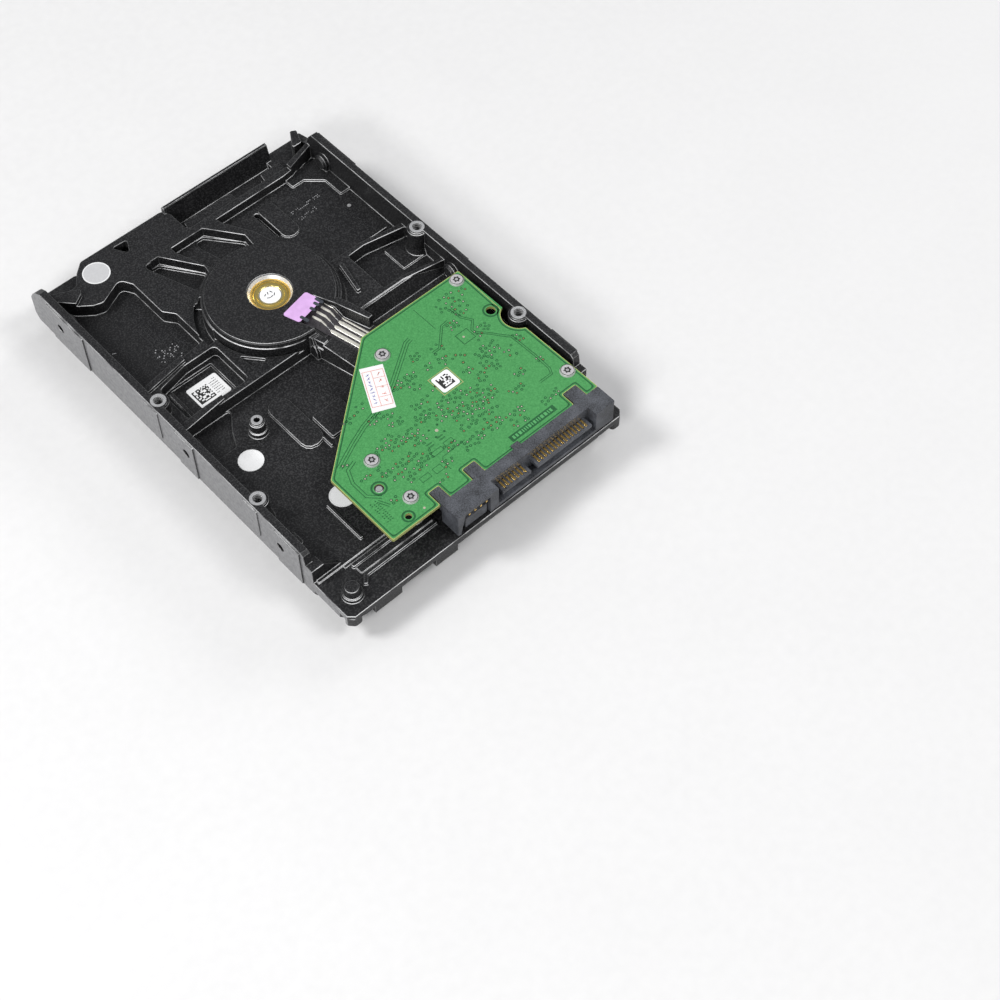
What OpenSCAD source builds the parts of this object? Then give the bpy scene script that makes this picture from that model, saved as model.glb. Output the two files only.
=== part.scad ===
// 3.5-inch hard disk drive, one disk, lying on its cover with the circuit board up.
// Origin: centre of the footprint, on the plane the cover rests on. +Z is up,
// -Y is the connector end and +X is the power side of the connector.

/* [Drive body] */
// Length over the two ends
drive_len = 147; // [146:0.1:147]
// Width over the side datum pads
drive_w = 101.6; // [101.35:0.05:101.85]
// Height from the cover to the mounting plane
drive_h = 20.2; // [20:0.1:20.4]
// Height at which the side rails start
rail_low = 5; // [4.5:0.1:5.5]
// Thickness of a side rail
rail_t = 2.9; // [2.6:0.1:3.2]

/* [Casting levels] */
// Land that the cover gasket sits on
seal_z = 1.7; // [1.6:0.1:1.8]
// Ceiling of the disk chamber
chamber_z = 7.3; // [7.2:0.1:7.4]
// Ceiling of the actuator bay
bay_z = 9; // [8.9:0.1:9.1]
// Shelf at the connector end
shelf_z = 10.3; // [10.1:0.1:10.5]
// Panel at the front left
panel_z = 9.6; // [9.4:0.1:9.8]
// Floor at the right and under the board
floor_z = 10.7; // [10.6:0.1:10.8]
// Front flange and front deck
deck_z = 14; // [13.5:0.1:14.4]
// Bridge that crosses the casting beside the motor
bridge_z = 15.2; // [14.8:0.1:15.4]
// Top of the motor housing
plateau_z = 19.7; // [19.5:0.1:19.8]
// Top of the front wall
wall_z = 15.9; // [15.5:0.1:16.2]

/* [Mounting] */
// Radius of a 6-32 tapped hole
tap_r = 1.42; // [1.35:0.01:1.45]
// Distance between the bottom holes across the drive
bottom_w = 95.25; // [95:0.05:95.5]
// Bottom holes: first one from the connector end
bottom_first = 41.28; // [41:0.01:41.5]
// Bottom holes: distance along the drive
bottom_len = 44.45; // [44.2:0.05:44.6]
// Side holes: first one from the connector end
side_first = 28.5; // [28.25:0.05:28.75]
// Side holes: distance to the second one
side_second = 41.6; // [41.4:0.05:41.8]
// Side holes: distance to the third one
side_third = 101.6; // [101.35:0.05:101.85]
// Side holes: depth below the mounting plane
side_drop = 6.35; // [6.2:0.05:6.5]
// Side holes: depth
side_tap_depth = 4.2; // [3.8:0.1:4.3]

/* [Spindle and disk] */
// Spindle axis, along the drive
spindle_y = 22.4; // [22:0.1:22.6]
// Radius of the disk
disk_r = 47.5; // [47.4:0.1:47.5]
// Thickness of the disk
disk_t = 1.27; // [1:0.01:1.27]
// Lower face of the disk
disk_z = 4.4; // [4.3:0.1:4.5]
// Radius of the raised motor housing
plateau_r = 19.5; // [19.3:0.1:19.8]
// Radius of the motor shaft
shaft_r = 1.98; // [1.96:0.01:1.99]

/* [Actuator] */
// Pivot axis, across the drive
pivot_x = -20; // [-20.2:0.1:-19.8]
// Pivot axis, along the drive
pivot_y = -31.5; // [-31.7:0.1:-31.3]
// Direction of the parked arm, counter-clockwise from +X
park_deg = 16.5; // [16:0.1:17]
// Distance from the pivot to the heads
arm_reach = 52; // [51.8:0.1:52.2]

/* [Circuit board] */
// Upper face of the board
pcb_z = 19.5; // [19.3:0.1:19.6]
// Board thickness
pcb_t = 1; // [0.8:0.1:1.1]

/* [Connector] */
// Centre of the contacts, across the drive
sata_x = 20.68; // [20.4:0.01:20.9]
// Contact pitch
sata_pitch = 1.27; // [1.27]

/* [Hidden] */
$fn = 64;
half_l = drive_len / 2;
half_w = drive_w / 2;
rail_face = half_w - 0.5;
rail_in = half_w - rail_t;
end_y = -half_l;
body_w = half_w - 1.5;
body_end_y = end_y + 3.1;
body_front_y = half_l - 2;
side_z = drive_h - side_drop;
bottom_ys = [end_y + bottom_first, end_y + bottom_first + bottom_len];
side_ys = [end_y + side_first, end_y + side_first + side_second, end_y + side_first + side_third];
chamber_r = 48.1;
motor_well_r = 17.2;
motor_well_z = 17.2;
pcb_low = pcb_z - pcb_t;
trench_z = 17.9;
bed_z = 15;
disk_top = disk_z + disk_t;

pcb_screw_at = [[42.8, -10.9], [9, -17.3], [43.7, -56.8], [-16.8, -43.2], [-16.8, -59.4]];
cover_screw_at = [[-42.4, -66.4], [42.4, -66.4], [0, -66.8], [-46.4, -28], [46.4, -28],
                  [-42.5, 65.6], [42.5, 65.6]];
sleeve_r = 5.45;
label_well_r = 3.45;

// ---- helpers ----------------------------------------------------------------

function unit(v) = v / norm(v);

// Points of an arc of radius r that rounds the corner b between a and c.
function corner(a, b, c, r, steps) =
  let (u = unit(a - b), w = unit(c - b),
       half = acos(u * w) / 2,
       reach = min(r / tan(half), 0.45 * min(norm(a - b), norm(c - b))),
       rr = reach * tan(half),
       centre = b + unit(u + w) * rr / sin(half),
       p = b + u * reach - centre,
       q = b + w * reach - centre,
       turn = atan2(cross(p, q), p * q),
       start = atan2(p.y, p.x))
  [for (i = [0:steps]) centre + rr * [cos(start + turn * i / steps), sin(start + turn * i / steps)]];

// An outline with every corner rounded by r.
function rounded(pts, r, steps = 3) =
  let (n = len(pts))
  [for (i = [0:n - 1]) each corner(pts[(i + n - 1) % n], pts[i], pts[(i + 1) % n], r, steps)];

// An upright solid between two heights.
module slab(pts, low, high, r = 0, steps = 3)
  translate([0, 0, low])
    linear_extrude(high - low)
      polygon(r > 0 ? rounded(pts, r, steps) : pts);

// A box between two corners.
module block(a, b) translate(a) cube(b - a);

// A box with its upright edges rounded.
module soft_block(a, b, r)
  slab([[a.x, a.y], [b.x, a.y], [b.x, b.y], [a.x, b.y]], a.z, b.z, r);

// An upright cylinder between two heights.
module rod(at, r, low, high) translate([at.x, at.y, low]) cylinder(r = r, h = high - low);

// An upright ring between two heights.
module ring(at, outer, inner, low, high)
  difference() {
    rod(at, outer, low, high);
    rod(at, inner, low - 1, high + 1);
  }

module at_spindle() translate([0, spindle_y, 0]) children();
module at_pivot() translate([pivot_x, pivot_y, 0]) children();
module both_sides() {
  children();
  mirror([1, 0, 0]) children();
}

// ---- base casting -----------------------------------------------------------

// Outline of the raised deck at the front, with the S-shaped step on its left.
deck_outline = [[-22.8, 20], [-22.8, 38.4], [-25.4, 41.8], [-25.4, 56], [-27.6, 60], [-35.8, 56.2],
                [-38.8, 57.2], [-42.6, 60.2], [-46.2, 67], [-38.4, 66.4], [-35.4, 70.4],
                [-31.9, half_l - 0.01], [-1.9, half_l - 0.01], [-0.6, 70.5], [-0.6, 62.3], [38, 62.3],
                [39, 60.4], [34.5, 59.8], [-19.6, 59.6], [-12.6, 41.5], [-16, 32], [-16, 20]];
// Outline of the bridge that carries the label pocket, left of the motor.
bridge_outline = [[-rail_in - 1, 2.7], [-1, 2.7], [-1, 12], [-16, 25], [-20.5, 24.6],
                  [-32, 23.4], [-rail_in - 1, 21]];
// The same bridge on the right of the motor.
right_bridge_outline = [[11, 2.9], [34, 2.9], [rail_in + 1, 0.2], [rail_in + 1, 19.8],
                        [34, 22.4], [24, 22.6], [16, 22]];
// Two wedge ribs join the deck to the motor housing.
wedge_outlines = [[[-14.2, 60.5], [-8.6, 60.5], [-8.8, 57.6], [-4.8, 46.6], [-4, 42], [-6.4, 43],
                   [-5.6, 47.4]],
                  [[2.4, 60.5], [8, 60.5], [8.8, 57.2], [13.6, 48.6], [16.6, 38], [10, 41],
                   [10.8, 49]]];
// Deep pockets on the near side of each wedge rib.
pocket_outlines = [[[-19.3, 59.3], [-14.2, 59.3], [-5.9, 47.6], [-6.6, 44.6], [-8, 43.2], [-12.9, 41.2]],
                   [[-0.8, 56.2], [-0.4, 59.4], [2.4, 59.4], [10.6, 49.2], [9.6, 46.6], [8, 44.6],
                    [2.2, 44.8]]];
label_pocket = [[-43.6, 4.6], [-22.3, 4.6], [-22.3, 20.6], [-33, 20.6], [-43.6, 18.2]];
// Shallow pocket of the right bridge, open to the rail.
bridge_pocket = [[27.6, 4.2], [34.2, 4.2], [rail_in - 0.1, 1.6], [rail_in - 0.1, 18.2],
                 [34, 20.9], [27.6, 20.6]];
// Channel of the motor flex through the housing, and the bed it lies on beyond it.
flex_path = [[-12.4, bed_z], [-9.3, trench_z], [-4.4, trench_z], [-2.4, plateau_z]];
trench_outline = [[-5, -2.3], [5.6, -2.3], [6.8, -9.2], [7.8, -21], [7.8, -28.6], [-1.2, -28.6],
                  [-1.6, -15.2], [-3.8, -15.2], [-3.8, -10]];

// Front end of each side rail, as seen along X: the left one is rounded, the right one steep.
left_nose = [[72.2, 14.2], [70.9, 16.4], [68.8, 18.7], [66.2, drive_h]];
right_nose = [[72.2, 12.4], [67.2, 13.8], [65.2, 15], [63.8, 18.6], [62.4, drive_h]];

module rail(nose)
  translate([rail_in, 0, 0])
    rotate([90, 0, 90])
      linear_extrude(rail_face - rail_in)
        polygon(concat([[-57.9, rail_low], [70.6, rail_low], [72.2, 7]],
                       nose,
                       [[-53.6, drive_h], [-54.6, 19.4], [-55.2, 15.8], [-57.9, 15.8]]));

module rails() {
  rail(right_nose);
  mirror([1, 0, 0]) rail(left_nose);
  both_sides()
    for (pad = [[-53.4, -43], [-7.2, 1], [44.4, 62]])
      block([rail_face - 0.5, pad[0], rail_low + 0.4], [half_w, pad[1], drive_h - 0.35]);
}

module bottom_bosses()
  for (sx = [-1, 1], y = bottom_ys) {
    at = [sx * bottom_w / 2, y];
    rod(at, 3.05, 8, drive_h - 0.7);
    rod(at, 2.3, 8, drive_h);
    intersection() {
      translate([at.x, at.y, floor_z - 1.5]) cylinder(r1 = 4.4, r2 = 3, h = 4);
      block([-rail_in - 0.3, -50, 8], [rail_in + 0.3, 50, 30]);
    }
    block([at.x - (sx > 0 ? 0 : 3), at.y - 3, 8], [at.x + (sx > 0 ? 3 : 0), at.y + 3, drive_h - 0.8]);
  }

module side_bosses()
  for (sx = [-1, 1], y = side_ys)
    translate([sx * (half_w - 4.9), y, 0]) {
      translate([0, 0, side_z]) rotate([0, sx * 90, 0]) {
        cylinder(r1 = 1.9, r2 = 2.6, h = 0.8);
        translate([0, 0, 0.7]) cylinder(r = 2.6, h = 3.5);
      }
      block([sx > 0 ? 0.8 : -4.2, -2.2, 8], [sx > 0 ? 4.2 : -0.8, 2.2, side_z]);
    }

// Raised motor housing with its concentric steps.
module plateau()
  at_spindle()
    rotate_extrude($fn = 128)
      polygon([[0, 8], [23.2, 8], [22.9, 13.4], [22.3, bridge_z - 0.2], [21.6, bridge_z + 0.3],
               [20.9, 17.8], [20.6, 18.1], [19.85, 18.1], [19.75, 18.6], [plateau_r, plateau_z - 0.35],
               [plateau_r - 0.35, plateau_z], [0, plateau_z]]);

module front_wall() {
  translate([-1.9, half_l, 0])
    rotate([90, 0, 90])
      linear_extrude(39.7)
        polygon([[-3.4, 8], [-2.4, 11], [-1.3, wall_z - 0.2], [-1.1, wall_z], [-0.3, wall_z],
                 [0, wall_z - 0.4], [0, 8]]);
  slab([[0.2, 62.2], [19.4, 62.2], [19.4, 67.6], [1.6, 67.6]], 8, floor_z + 0.4, 0.6);
  slab([[29.8, 62.2], [38.4, 62.2], [38.4, 67.6], [31, 67.6]], 8, floor_z + 0.4, 0.6);
}

module front_corners() {
  slab([[-body_w, 66], [-36, 66], [-34, half_l], [-body_w, half_l]], rail_low, 10, 0.8);
  slab([[36, 62], [body_w, 62], [body_w, half_l], [36, half_l]], rail_low, 10, 0.8);
  slab([[-48.2, 66.4], [-46.6, 68.2], [-38.4, 64], [-39.4, 62.2], [-42.6, 60.2]], 8, deck_z + 1.3, 0.4);
  slab([[37.6, 60.2], [rail_in + 0.2, 63.6], [rail_in + 0.2, 65.2], [37.6, 62.2]], 8, deck_z + 1.2);
  slab([[43.4, 66.4], [46.9, 66.4], [48.9, 71.4], [47.1, 72.4]], 8, 15.2, 0.5);
}

// Shelf at the connector end, its steps and ribs, and the tabs under its edge.
module end_shelf() {
  slab([[-rail_face, -57], [-rail_face, -71.8], [-48.6, end_y + 0.1], [48.6, end_y + 0.1],
        [rail_face, -71.8], [rail_face, -57]], 8.2, shelf_z);
  slab([[-rail_face, -57], [-rail_face, -68.6], [-48.4, -70.8], [-44, -70.8], [-44, -57]], 6.2, 9);
  both_sides()
    slab([[-rail_face, -70.4], [-rail_face, -71.8], [-48.8, end_y + 0.1], [-46, end_y + 0.1], [-46, -69.6]],
         5.6, 9, 1.2, 4);
  for (tab = [[-42, -32.6], [-20.5, -12.6]])
    slab([[tab[0], end_y + 0.1], [tab[1], end_y + 0.1], [tab[1] + 1.4, end_y + 3.4], [tab[0], end_y + 3.4]],
         rail_low, 9);
  block([-41, -58, 8], [-13.4, -55, floor_z]);
  block([-41, -60, 8], [-13.4, -57.8, shelf_z + 0.1]);
  soft_block([-39.4, -61.7, 8], [-13.4, -60.5, floor_z + 0.6], 0.4);
  soft_block([-38.8, -64.2, 8], [-13.4, -61.5, floor_z - 0.1], 0.4);
  slab([[-39.8, -68], [-38, -65.9], [-13.4, -65.9], [-13.4, -64.9], [-38.6, -64.9], [-40.6, -67.4]],
       8, floor_z + 0.4);
  // Low end block of the rail, with a thin shoulder that slopes down to the floor.
  both_sides() {
    block([-rail_face, -57.9, 8], [-46.3, -54.4, 15.8]);
    translate([0, -56.6, 0])
      rotate([90, 0, 0])
        linear_extrude(1.3)
          polygon([[-46.6, 8], [-46.6, 15.8], [-46.3, 15.8], [-40.8, floor_z], [-40.8, 8]]);
  }
  translate([-44.6, -67.4, 8]) {
    cylinder(r1 = 3.5, r2 = 2.9, h = 3.4);
    cylinder(r1 = 3, r2 = 2, h = 6);
  }
}

module board_posts() {
  for (at = pcb_screw_at)
    rod(at, 3.2, 8, pcb_low);
  rod([-21.2, -51.4], 2.4, 8, pcb_low);
  rod([-21.2, -51.4], 1.25, 8, pcb_z - 0.2);
  soft_block([12, -44, 8], [28, -28, 15.9], 1.5);
}

module panel_details() {
  translate([-30, -8.8, 8]) {
    cylinder(r1 = 3.2, r2 = 2.7, h = 4.2);
    cylinder(r = 2.3, h = 7.2);
    cylinder(r = 1.7, h = 8);
  }
  soft_block([-24.3, -24, 8], [-17.2, -3.8, floor_z + 0.9], 3.4);
  soft_block([-16.2, -25, 8], [-6, -15.6, floor_z + 1], 0.5);
  block([-18.4, -27, 8], [-17.8, -19.6, floor_z + 0.9]);
  slab([[-32.2, -56], [-31.4, -56], [-31.4, -41.5], [-32.2, -41.5]], 8, floor_z + 0.8);
  soft_block([20.5, 41, 8], [26.5, 57, floor_z + 0.6], 2.9);
  soft_block([-rail_in - 0.2, -50.4, 8], [-46.4, -45.9, 18.2], 0.7);
  slab([[35, 56.5], [39.5, 56.5], [44.3, 52], [44.3, 44.5], [rail_in + 0.2, 44.5],
        [rail_in + 0.2, 61], [35, 61]], 8, floor_z + 0.7, 0.5);
}

module slanted_bars() {
  slab([[-rail_in - 0.4, 18.9], [-32, 21.6], [-32, 23.6], [-rail_in - 0.4, 21.2]], 8, bridge_z + 1, 0.3);
  slab([[-rail_in - 0.4, 1.2], [-32, 3], [-32, 5], [-rail_in - 0.4, 3.8]], 8, bridge_z + 1, 0.3);
  slab([[20.6, 7.8], [21.8, 7.8], [24.2, 18], [24.2, 19.6], [23, 19]], 8, bridge_z + 1.2, 0.3);
}

// Sloping outer faces of the right bridge.
module bridge_slopes() {
  translate([16, 0, 0])
    rotate([90, 0, 90])
      linear_extrude(rail_in - 16)
        polygon([[-0.6, floor_z - 0.5], [-0.6, floor_z], [1.9, 14.2], [2.3, bridge_z - 0.3],
                 [2.9, bridge_z - 0.3], [2.9, floor_z - 0.5]]);
  translate([24, 0, 0])
    rotate([90, 0, 90])
      linear_extrude(rail_in - 28)
        polygon([[22, floor_z - 0.5], [22, bridge_z - 0.3], [22.7, bridge_z - 0.6], [25, floor_z],
                 [25.2, floor_z - 0.5]]);
}

// Bed of the motor flex beyond the housing, with its two side walls.
module flex_bed()
  along_flex() {
    slab([[-6.2, -8], [9.4, -8], [9.4, -28.6], [-6.2, -28.6]], 8, bed_z);
    slab([[-6, -8], [-5.8, -15], [-3.8, -15.2], [-3.8, -8]], 8, 17.8, 0.3);
    slab([[6.8, -8.6], [7.7, -21], [9.5, -21.2], [9.5, -12], [9, -8.6]], 8, plateau_z, 0.3);
    translate([-6.2, 0, 0])
      rotate([90, 0, 90])
        linear_extrude(4.9)
          polygon([[-28.6, 8], [-14.9, 8], [-14.9, 17.4], [-28.6, bed_z]]);
  }

module casting_body() {
  slab([[-46, body_end_y], [46, body_end_y], [46, -61.5], [body_w, -56.5], [body_w, body_front_y],
        [-body_w, body_front_y], [-body_w, -56.5], [-46, -61.5]], seal_z, 8.4, 3, 5);
  slab([[-body_w, 60], [body_w, 60], [body_w, half_l - 0.1], [-body_w, half_l - 0.1]], rail_low, 8.4, 3, 5);
  block([-body_w, -59, 8], [body_w, 2.9, floor_z]);
  block([-body_w, 2.5, 8], [-16, 66.6, panel_z]);
  block([-17, 2.5, 8], [body_w, 62.4, floor_z]);
  slab([[-16.5, 60], [-16.5, 41], [-24.6, 42], [-24.6, 58]], 8, deck_z - 0.1);
  slab(deck_outline, 8, deck_z, 1.9, 4);
  slab(bridge_outline, 8, bridge_z);
  slab(right_bridge_outline, 8, bridge_z);
  bridge_slopes();
  flex_bed();
  for (pts = wedge_outlines)
    slab(pts, 8, deck_z);
  plateau();
  rails();
  bottom_bosses();
  side_bosses();
  front_wall();
  front_corners();
  end_shelf();
  board_posts();
  panel_details();
  slanted_bars();
}

// Actuator bay. Its corner beside the disk holds the load ramp.
bay_outline = [[-44.9, -17], [-44.9, -54], [-41.5, -59.6], [-41.5, -63.4], [41.5, -63.4], [44, -54],
               [44, -8], [24, -8], [20, -17]];

// Space for the disk, the arms and the motor, open towards the cover.
module chamber() {
  at_spindle() rod([0, 0], chamber_r, seal_z - 1, chamber_z);
  slab(bay_outline, seal_z - 1, bay_z, 2.4);
  at_spindle()
    intersection() {
      rod([0, 0], chamber_r, chamber_z - 1, bay_z);
      slab([[-30, -60], [48, -60], [48, 2], [24, 8], [-30, -6]], chamber_z - 2, bay_z + 1);
    }
  at_spindle() rod([0, 0], motor_well_r, chamber_z - 1, motor_well_z);
}

module outer_pockets() {
  for (pts = pocket_outlines)
    slab(pts, 9.7, 30, 1.2);
  // The label lies in a recess below the pocket's ledge.
  difference() {
    slab(label_pocket, 11.5, 30, 1.4);
    soft_block([-41.5, 5, 11], [-40.2, 17.6, 12], 0.3);
    bottom_bosses();
  }
  soft_block([-40.2, 5, 10.4], [-25.6, 18.9, 12], 0.4);
  slab([[-19.7, 13.2], [-18.8, 7.2], [-13.9, 6.4]], 14.3, 30, 0.4);
  slab([[-21.9, 71.6], [-16.5, 71.3], [-18.9, 66.6]], 9.6, 30, 0.6);
  difference() {
    slab(bridge_pocket, floor_z, 30, 0.8);
    bottom_bosses();
    soft_block([39, 8.6, 8], [rail_in + 1, 17.8, floor_z + 0.6], 0.4);
  }
  along_flex()
    intersection() {
      slab(trench_outline, bed_z - 0.1, 30, 0.3);
      translate([-7, 0, 0])
        rotate([90, 0, 90])
          linear_extrude(16)
            polygon(concat([[-29, 31], [-29, bed_z]], flex_path, [[-2.4, 31]]));
    }
  soft_block([19, 44, 8.6], [20.6, 56, 30], 0.7);
  slab([[-rail_in, -9], [-38, -9], [-35.6, -4], [-31, 2.7], [-rail_in, 2.7]], 10, 12, 1);
  // Crescent beside the motor housing.
  at_spindle()
    intersection() {
      difference() {
        rod([-1.9, -0.5], 21.6, 12.6, 30);
        rod([0, 0], 20.3, 10, 31);
      }
      slab([[0, 0], [-40, 34], [-40, -1]], 10, 31);
    }
  housing_foot();
}

// Above the left bridge the motor housing drops straight into a narrow groove.
module housing_foot() {
  at_spindle()
    intersection() {
      difference() {
        union() {
          rod([0, 0], 24.6, bridge_z, 30);
          rod([0, 0], 20.5, 14, bridge_z + 1);
        }
        rod([0, 0], 20.05, 12, 31);
      }
      slab([[0, 0], [-40, 2], [-40, -40], [-2.6, -40]], 10, 31);
    }
  block([-14.5, -1.5, floor_z], [-1.6, 2.7, 30]);
}

module tapped_holes() {
  for (sx = [-1, 1]) {
    for (y = bottom_ys)
      rod([sx * bottom_w / 2, y], tap_r, drive_h - 6.5, drive_h + 1);
    for (y = side_ys)
      translate([sx * (half_w - side_tap_depth), y, side_z])
        rotate([0, sx * 90, 0])
          cylinder(r = tap_r, h = 10);
  }
  for (at = pcb_screw_at)
    rod(at, 0.85, pcb_low - 5, pcb_low + 1);
  for (at = cover_screw_at)
    rod(at, 1.02, seal_z - 1, seal_z + 5.2);
  rod([-30, -8.8], 0.9, 11.5, 17);
}

module base_casting()
  color([0.14, 0.14, 0.15])
    difference() {
      casting_body();
      chamber();
      outer_pockets();
      tapped_holes();
      // Bore and chamfer for the bearing sleeve.
      at_spindle() {
        rod([0, 0], sleeve_r + 0.01, motor_well_z - 1, plateau_z + 1);
        translate([0, 0, plateau_z - 1.3]) cylinder(r1 = 5.9, r2 = 6.8, h = 1.32);
      }
      rod([pivot_x, pivot_y], 1.25, bay_z - 1, bay_z + 1.2);
      // Window for the head connector.
      block([0.6, -60.6, bay_z - 1], [13.4, -55.4, floor_z + 1]);
      // Openings under the round seals.
      rod([-30.9, 66.7], 1.2, chamber_z + 2, 15);
    }

// ---- cover ------------------------------------------------------------------

cover_outline = [[-45.2, -69.8], [45.2, -69.8], [45.2, -61.2], [48.6, -56.2], [48.6, 70.9],
                 [-48.6, 70.9], [-48.6, -56.2], [-45.2, -61.2]];

module gasket_sheet()
  slab([[-45, -69.6], [45, -69.6], [45, -61], [48.4, -56], [48.4, 70.7], [-48.4, 70.7], [-48.4, -56],
        [-45, -61]], 1.2, seal_z, 3, 5);

module cover_gasket()
  color("dimgray")
    difference() {
      gasket_sheet();
      at_spindle() rod([0, 0], chamber_r - 0.35, 0, 3);
      slab(bay_outline, 0, 3, 2);
      for (at = cover_screw_at)
        rod(at, 1.25, 0, 3);
    }

// Pressed sheet cover: a rim at the gasket, and a raised field that the drive rests on.
module top_cover()
  color("silver")
    difference() {
      union() {
        slab(cover_outline, 0.6, 1.2, 3, 5);
        at_spindle() rod([0, 0], 44, 0, 0.7);
        soft_block([-42, -60, 0], [41, -8, 0.7], 5);
      }
      // Recess for the label, and the inner side of the raised field.
      soft_block([-30, -52, -1], [30, 40, 0.12], 3);
      at_spindle() rod([0, 0], 43.4, 0.6, 2);
      soft_block([-41.4, -59.4, 0.6], [40.4, -8.6, 2], 4.6);
      for (at = cover_screw_at)
        rod(at, 1.2, -1, 3);
      rod([36, -52], 0.8, -1, 3);
    }

module cover_screws()
  color("gray")
    for (at = cover_screw_at)
      translate([at.x, at.y, 0]) {
        difference() {
          union() {
            translate([0, 0, 0.04]) cylinder(r = 2, h = 0.56);
            translate([0, 0, 0.3]) cylinder(r = 1, h = 6.2);
          }
          translate([0, 0, -1]) cylinder(r = 0.75, h = 2.2, $fn = 6);
        }
      }

module cover_label()
  color("white") soft_block([-29, -51, 0.03], [29, 39, 0.12], 2.4);

module breather_filter()
  color("whitesmoke")
    difference() {
      rod([36, -52], 3.4, 0.6, 1.7);
      rod([36, -52], 0.6, 0, 1.2);
    }

// ---- seals and labels on the casting ------------------------------------------

module servo_access_seal()
  color("lightgray") rod([-30.9, 66.7], 4.2, deck_z, deck_z + 0.12);

module screw_seals()
  color("white") {
    rod([-37.9, -15.4], 3.7, floor_z, floor_z + 0.12);
    rod([-26.6, -41.6], 3.8, floor_z, floor_z + 0.12);
  }

module casting_label()
  color("white") soft_block([-36.8, 7.9, 10.4], [-26.4, 16.3, 10.55], 0.7);

// ---- circuit board ------------------------------------------------------------

pcb_outline = [[-29.2, -66.6], [-29.2, -40.6], [8.7, -8.4], [45.6, -8.4], [45.8, -28.2],
               [45.8, -37], [46.3, -66.4]];
arm_notches = [[-12.5, -8.9, -61.6], [-0.6, 3.7, -62], [37, 41.9, -61.8]];

module circuit_board()
  color("green")
    difference() {
      slab(pcb_outline, pcb_low, pcb_z, 0.5);
      rod([47.7, -32.3], 5.3, pcb_low - 1, pcb_z + 1);
      for (n = arm_notches)
        soft_block([n[0], -70, pcb_low - 1], [n[1], n[2], pcb_z + 1], 0.8);
      for (at = pcb_screw_at)
        rod(at, 1.1, pcb_low - 1, pcb_z + 1);
      rod([42.6, -25.9], 1.5, pcb_low - 1, pcb_z + 1);
      rod([-21.2, -51.4], 1.4, pcb_low - 1, pcb_z + 1);
      rod([-21.2, -63.6], 1, pcb_low - 1, pcb_z + 1);
    }

module board_screws()
  color("silver")
    for (at = pcb_screw_at)
      translate([at.x, at.y, 0])
        difference() {
          union() {
            translate([0, 0, pcb_z]) cylinder(r1 = 2.3, r2 = 2, h = 0.65);
            translate([0, 0, pcb_low - 4.6]) cylinder(r = 0.83, h = 6);
          }
          translate([0, 0, pcb_z + 0.15]) cylinder(r = 0.8, h = 2, $fn = 6);
        }

module controller_chip()
  color([0.12, 0.12, 0.13]) soft_block([13.5, -42.5, pcb_low - 1.3], [26.5, -29.5, pcb_low], 0.3);

module memory_chip()
  color([0.13, 0.13, 0.14]) soft_block([-6, -42, pcb_low - 1.1], [4, -30, pcb_low], 0.3);

module motor_driver_chip()
  color([0.12, 0.12, 0.13]) soft_block([30.4, -25, pcb_low - 1], [38.4, -17, pcb_low], 0.3);

module board_components()
  color("darkgray") {
    for (i = [0:4])
      block([-24 + 4.2 * i, -55.9, pcb_low - 1.4], [-21.4 + 4.2 * i, -54.3, pcb_low]);
    for (i = [0:3], j = [0:2])
      block([16 + 4 * i, -14 - 2.6 * j, pcb_low - 0.7], [17.4 + 4 * i, -13.2 - 2.6 * j, pcb_low]);
    for (i = [0:5])
      block([30 + 1.9 * i, -52, pcb_low - 0.8], [31.1 + 1.9 * i, -49.8, pcb_low]);
    rod([33, -43], 2.4, pcb_low - 2.2, pcb_low);
    rod([39, -39], 2.4, pcb_low - 2.2, pcb_low);
  }

module thermal_pad()
  color("lightpink") soft_block([14, -42, 15.9], [26, -30, pcb_low - 1.3], 0.5);

module board_label()
  color("white") soft_block([13, -39.4, pcb_z], [19.2, -33.2, pcb_z + 0.12], 0.8);

module paper_sticker()
  color("white") slab([[0.8, -16.8], [7, -19.8], [0, -33.8], [-6.3, -31]], pcb_z, pcb_z + 0.1);

// ---- connector ------------------------------------------------------------------

housing_low = 11.6;
housing_top = drive_h - 0.2;
housing_back = -66.6;
plate_low = housing_top - 1.2;
tongue_z = drive_h - 4;
data_w = 10.41;
gap_w = 2.41;
power_w = 20.57;
tongue_low_x = sata_x - (data_w + gap_w + power_w) / 2;
jumper_xs = [for (i = [0:3]) -7.9 + 2.05 * i];

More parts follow.
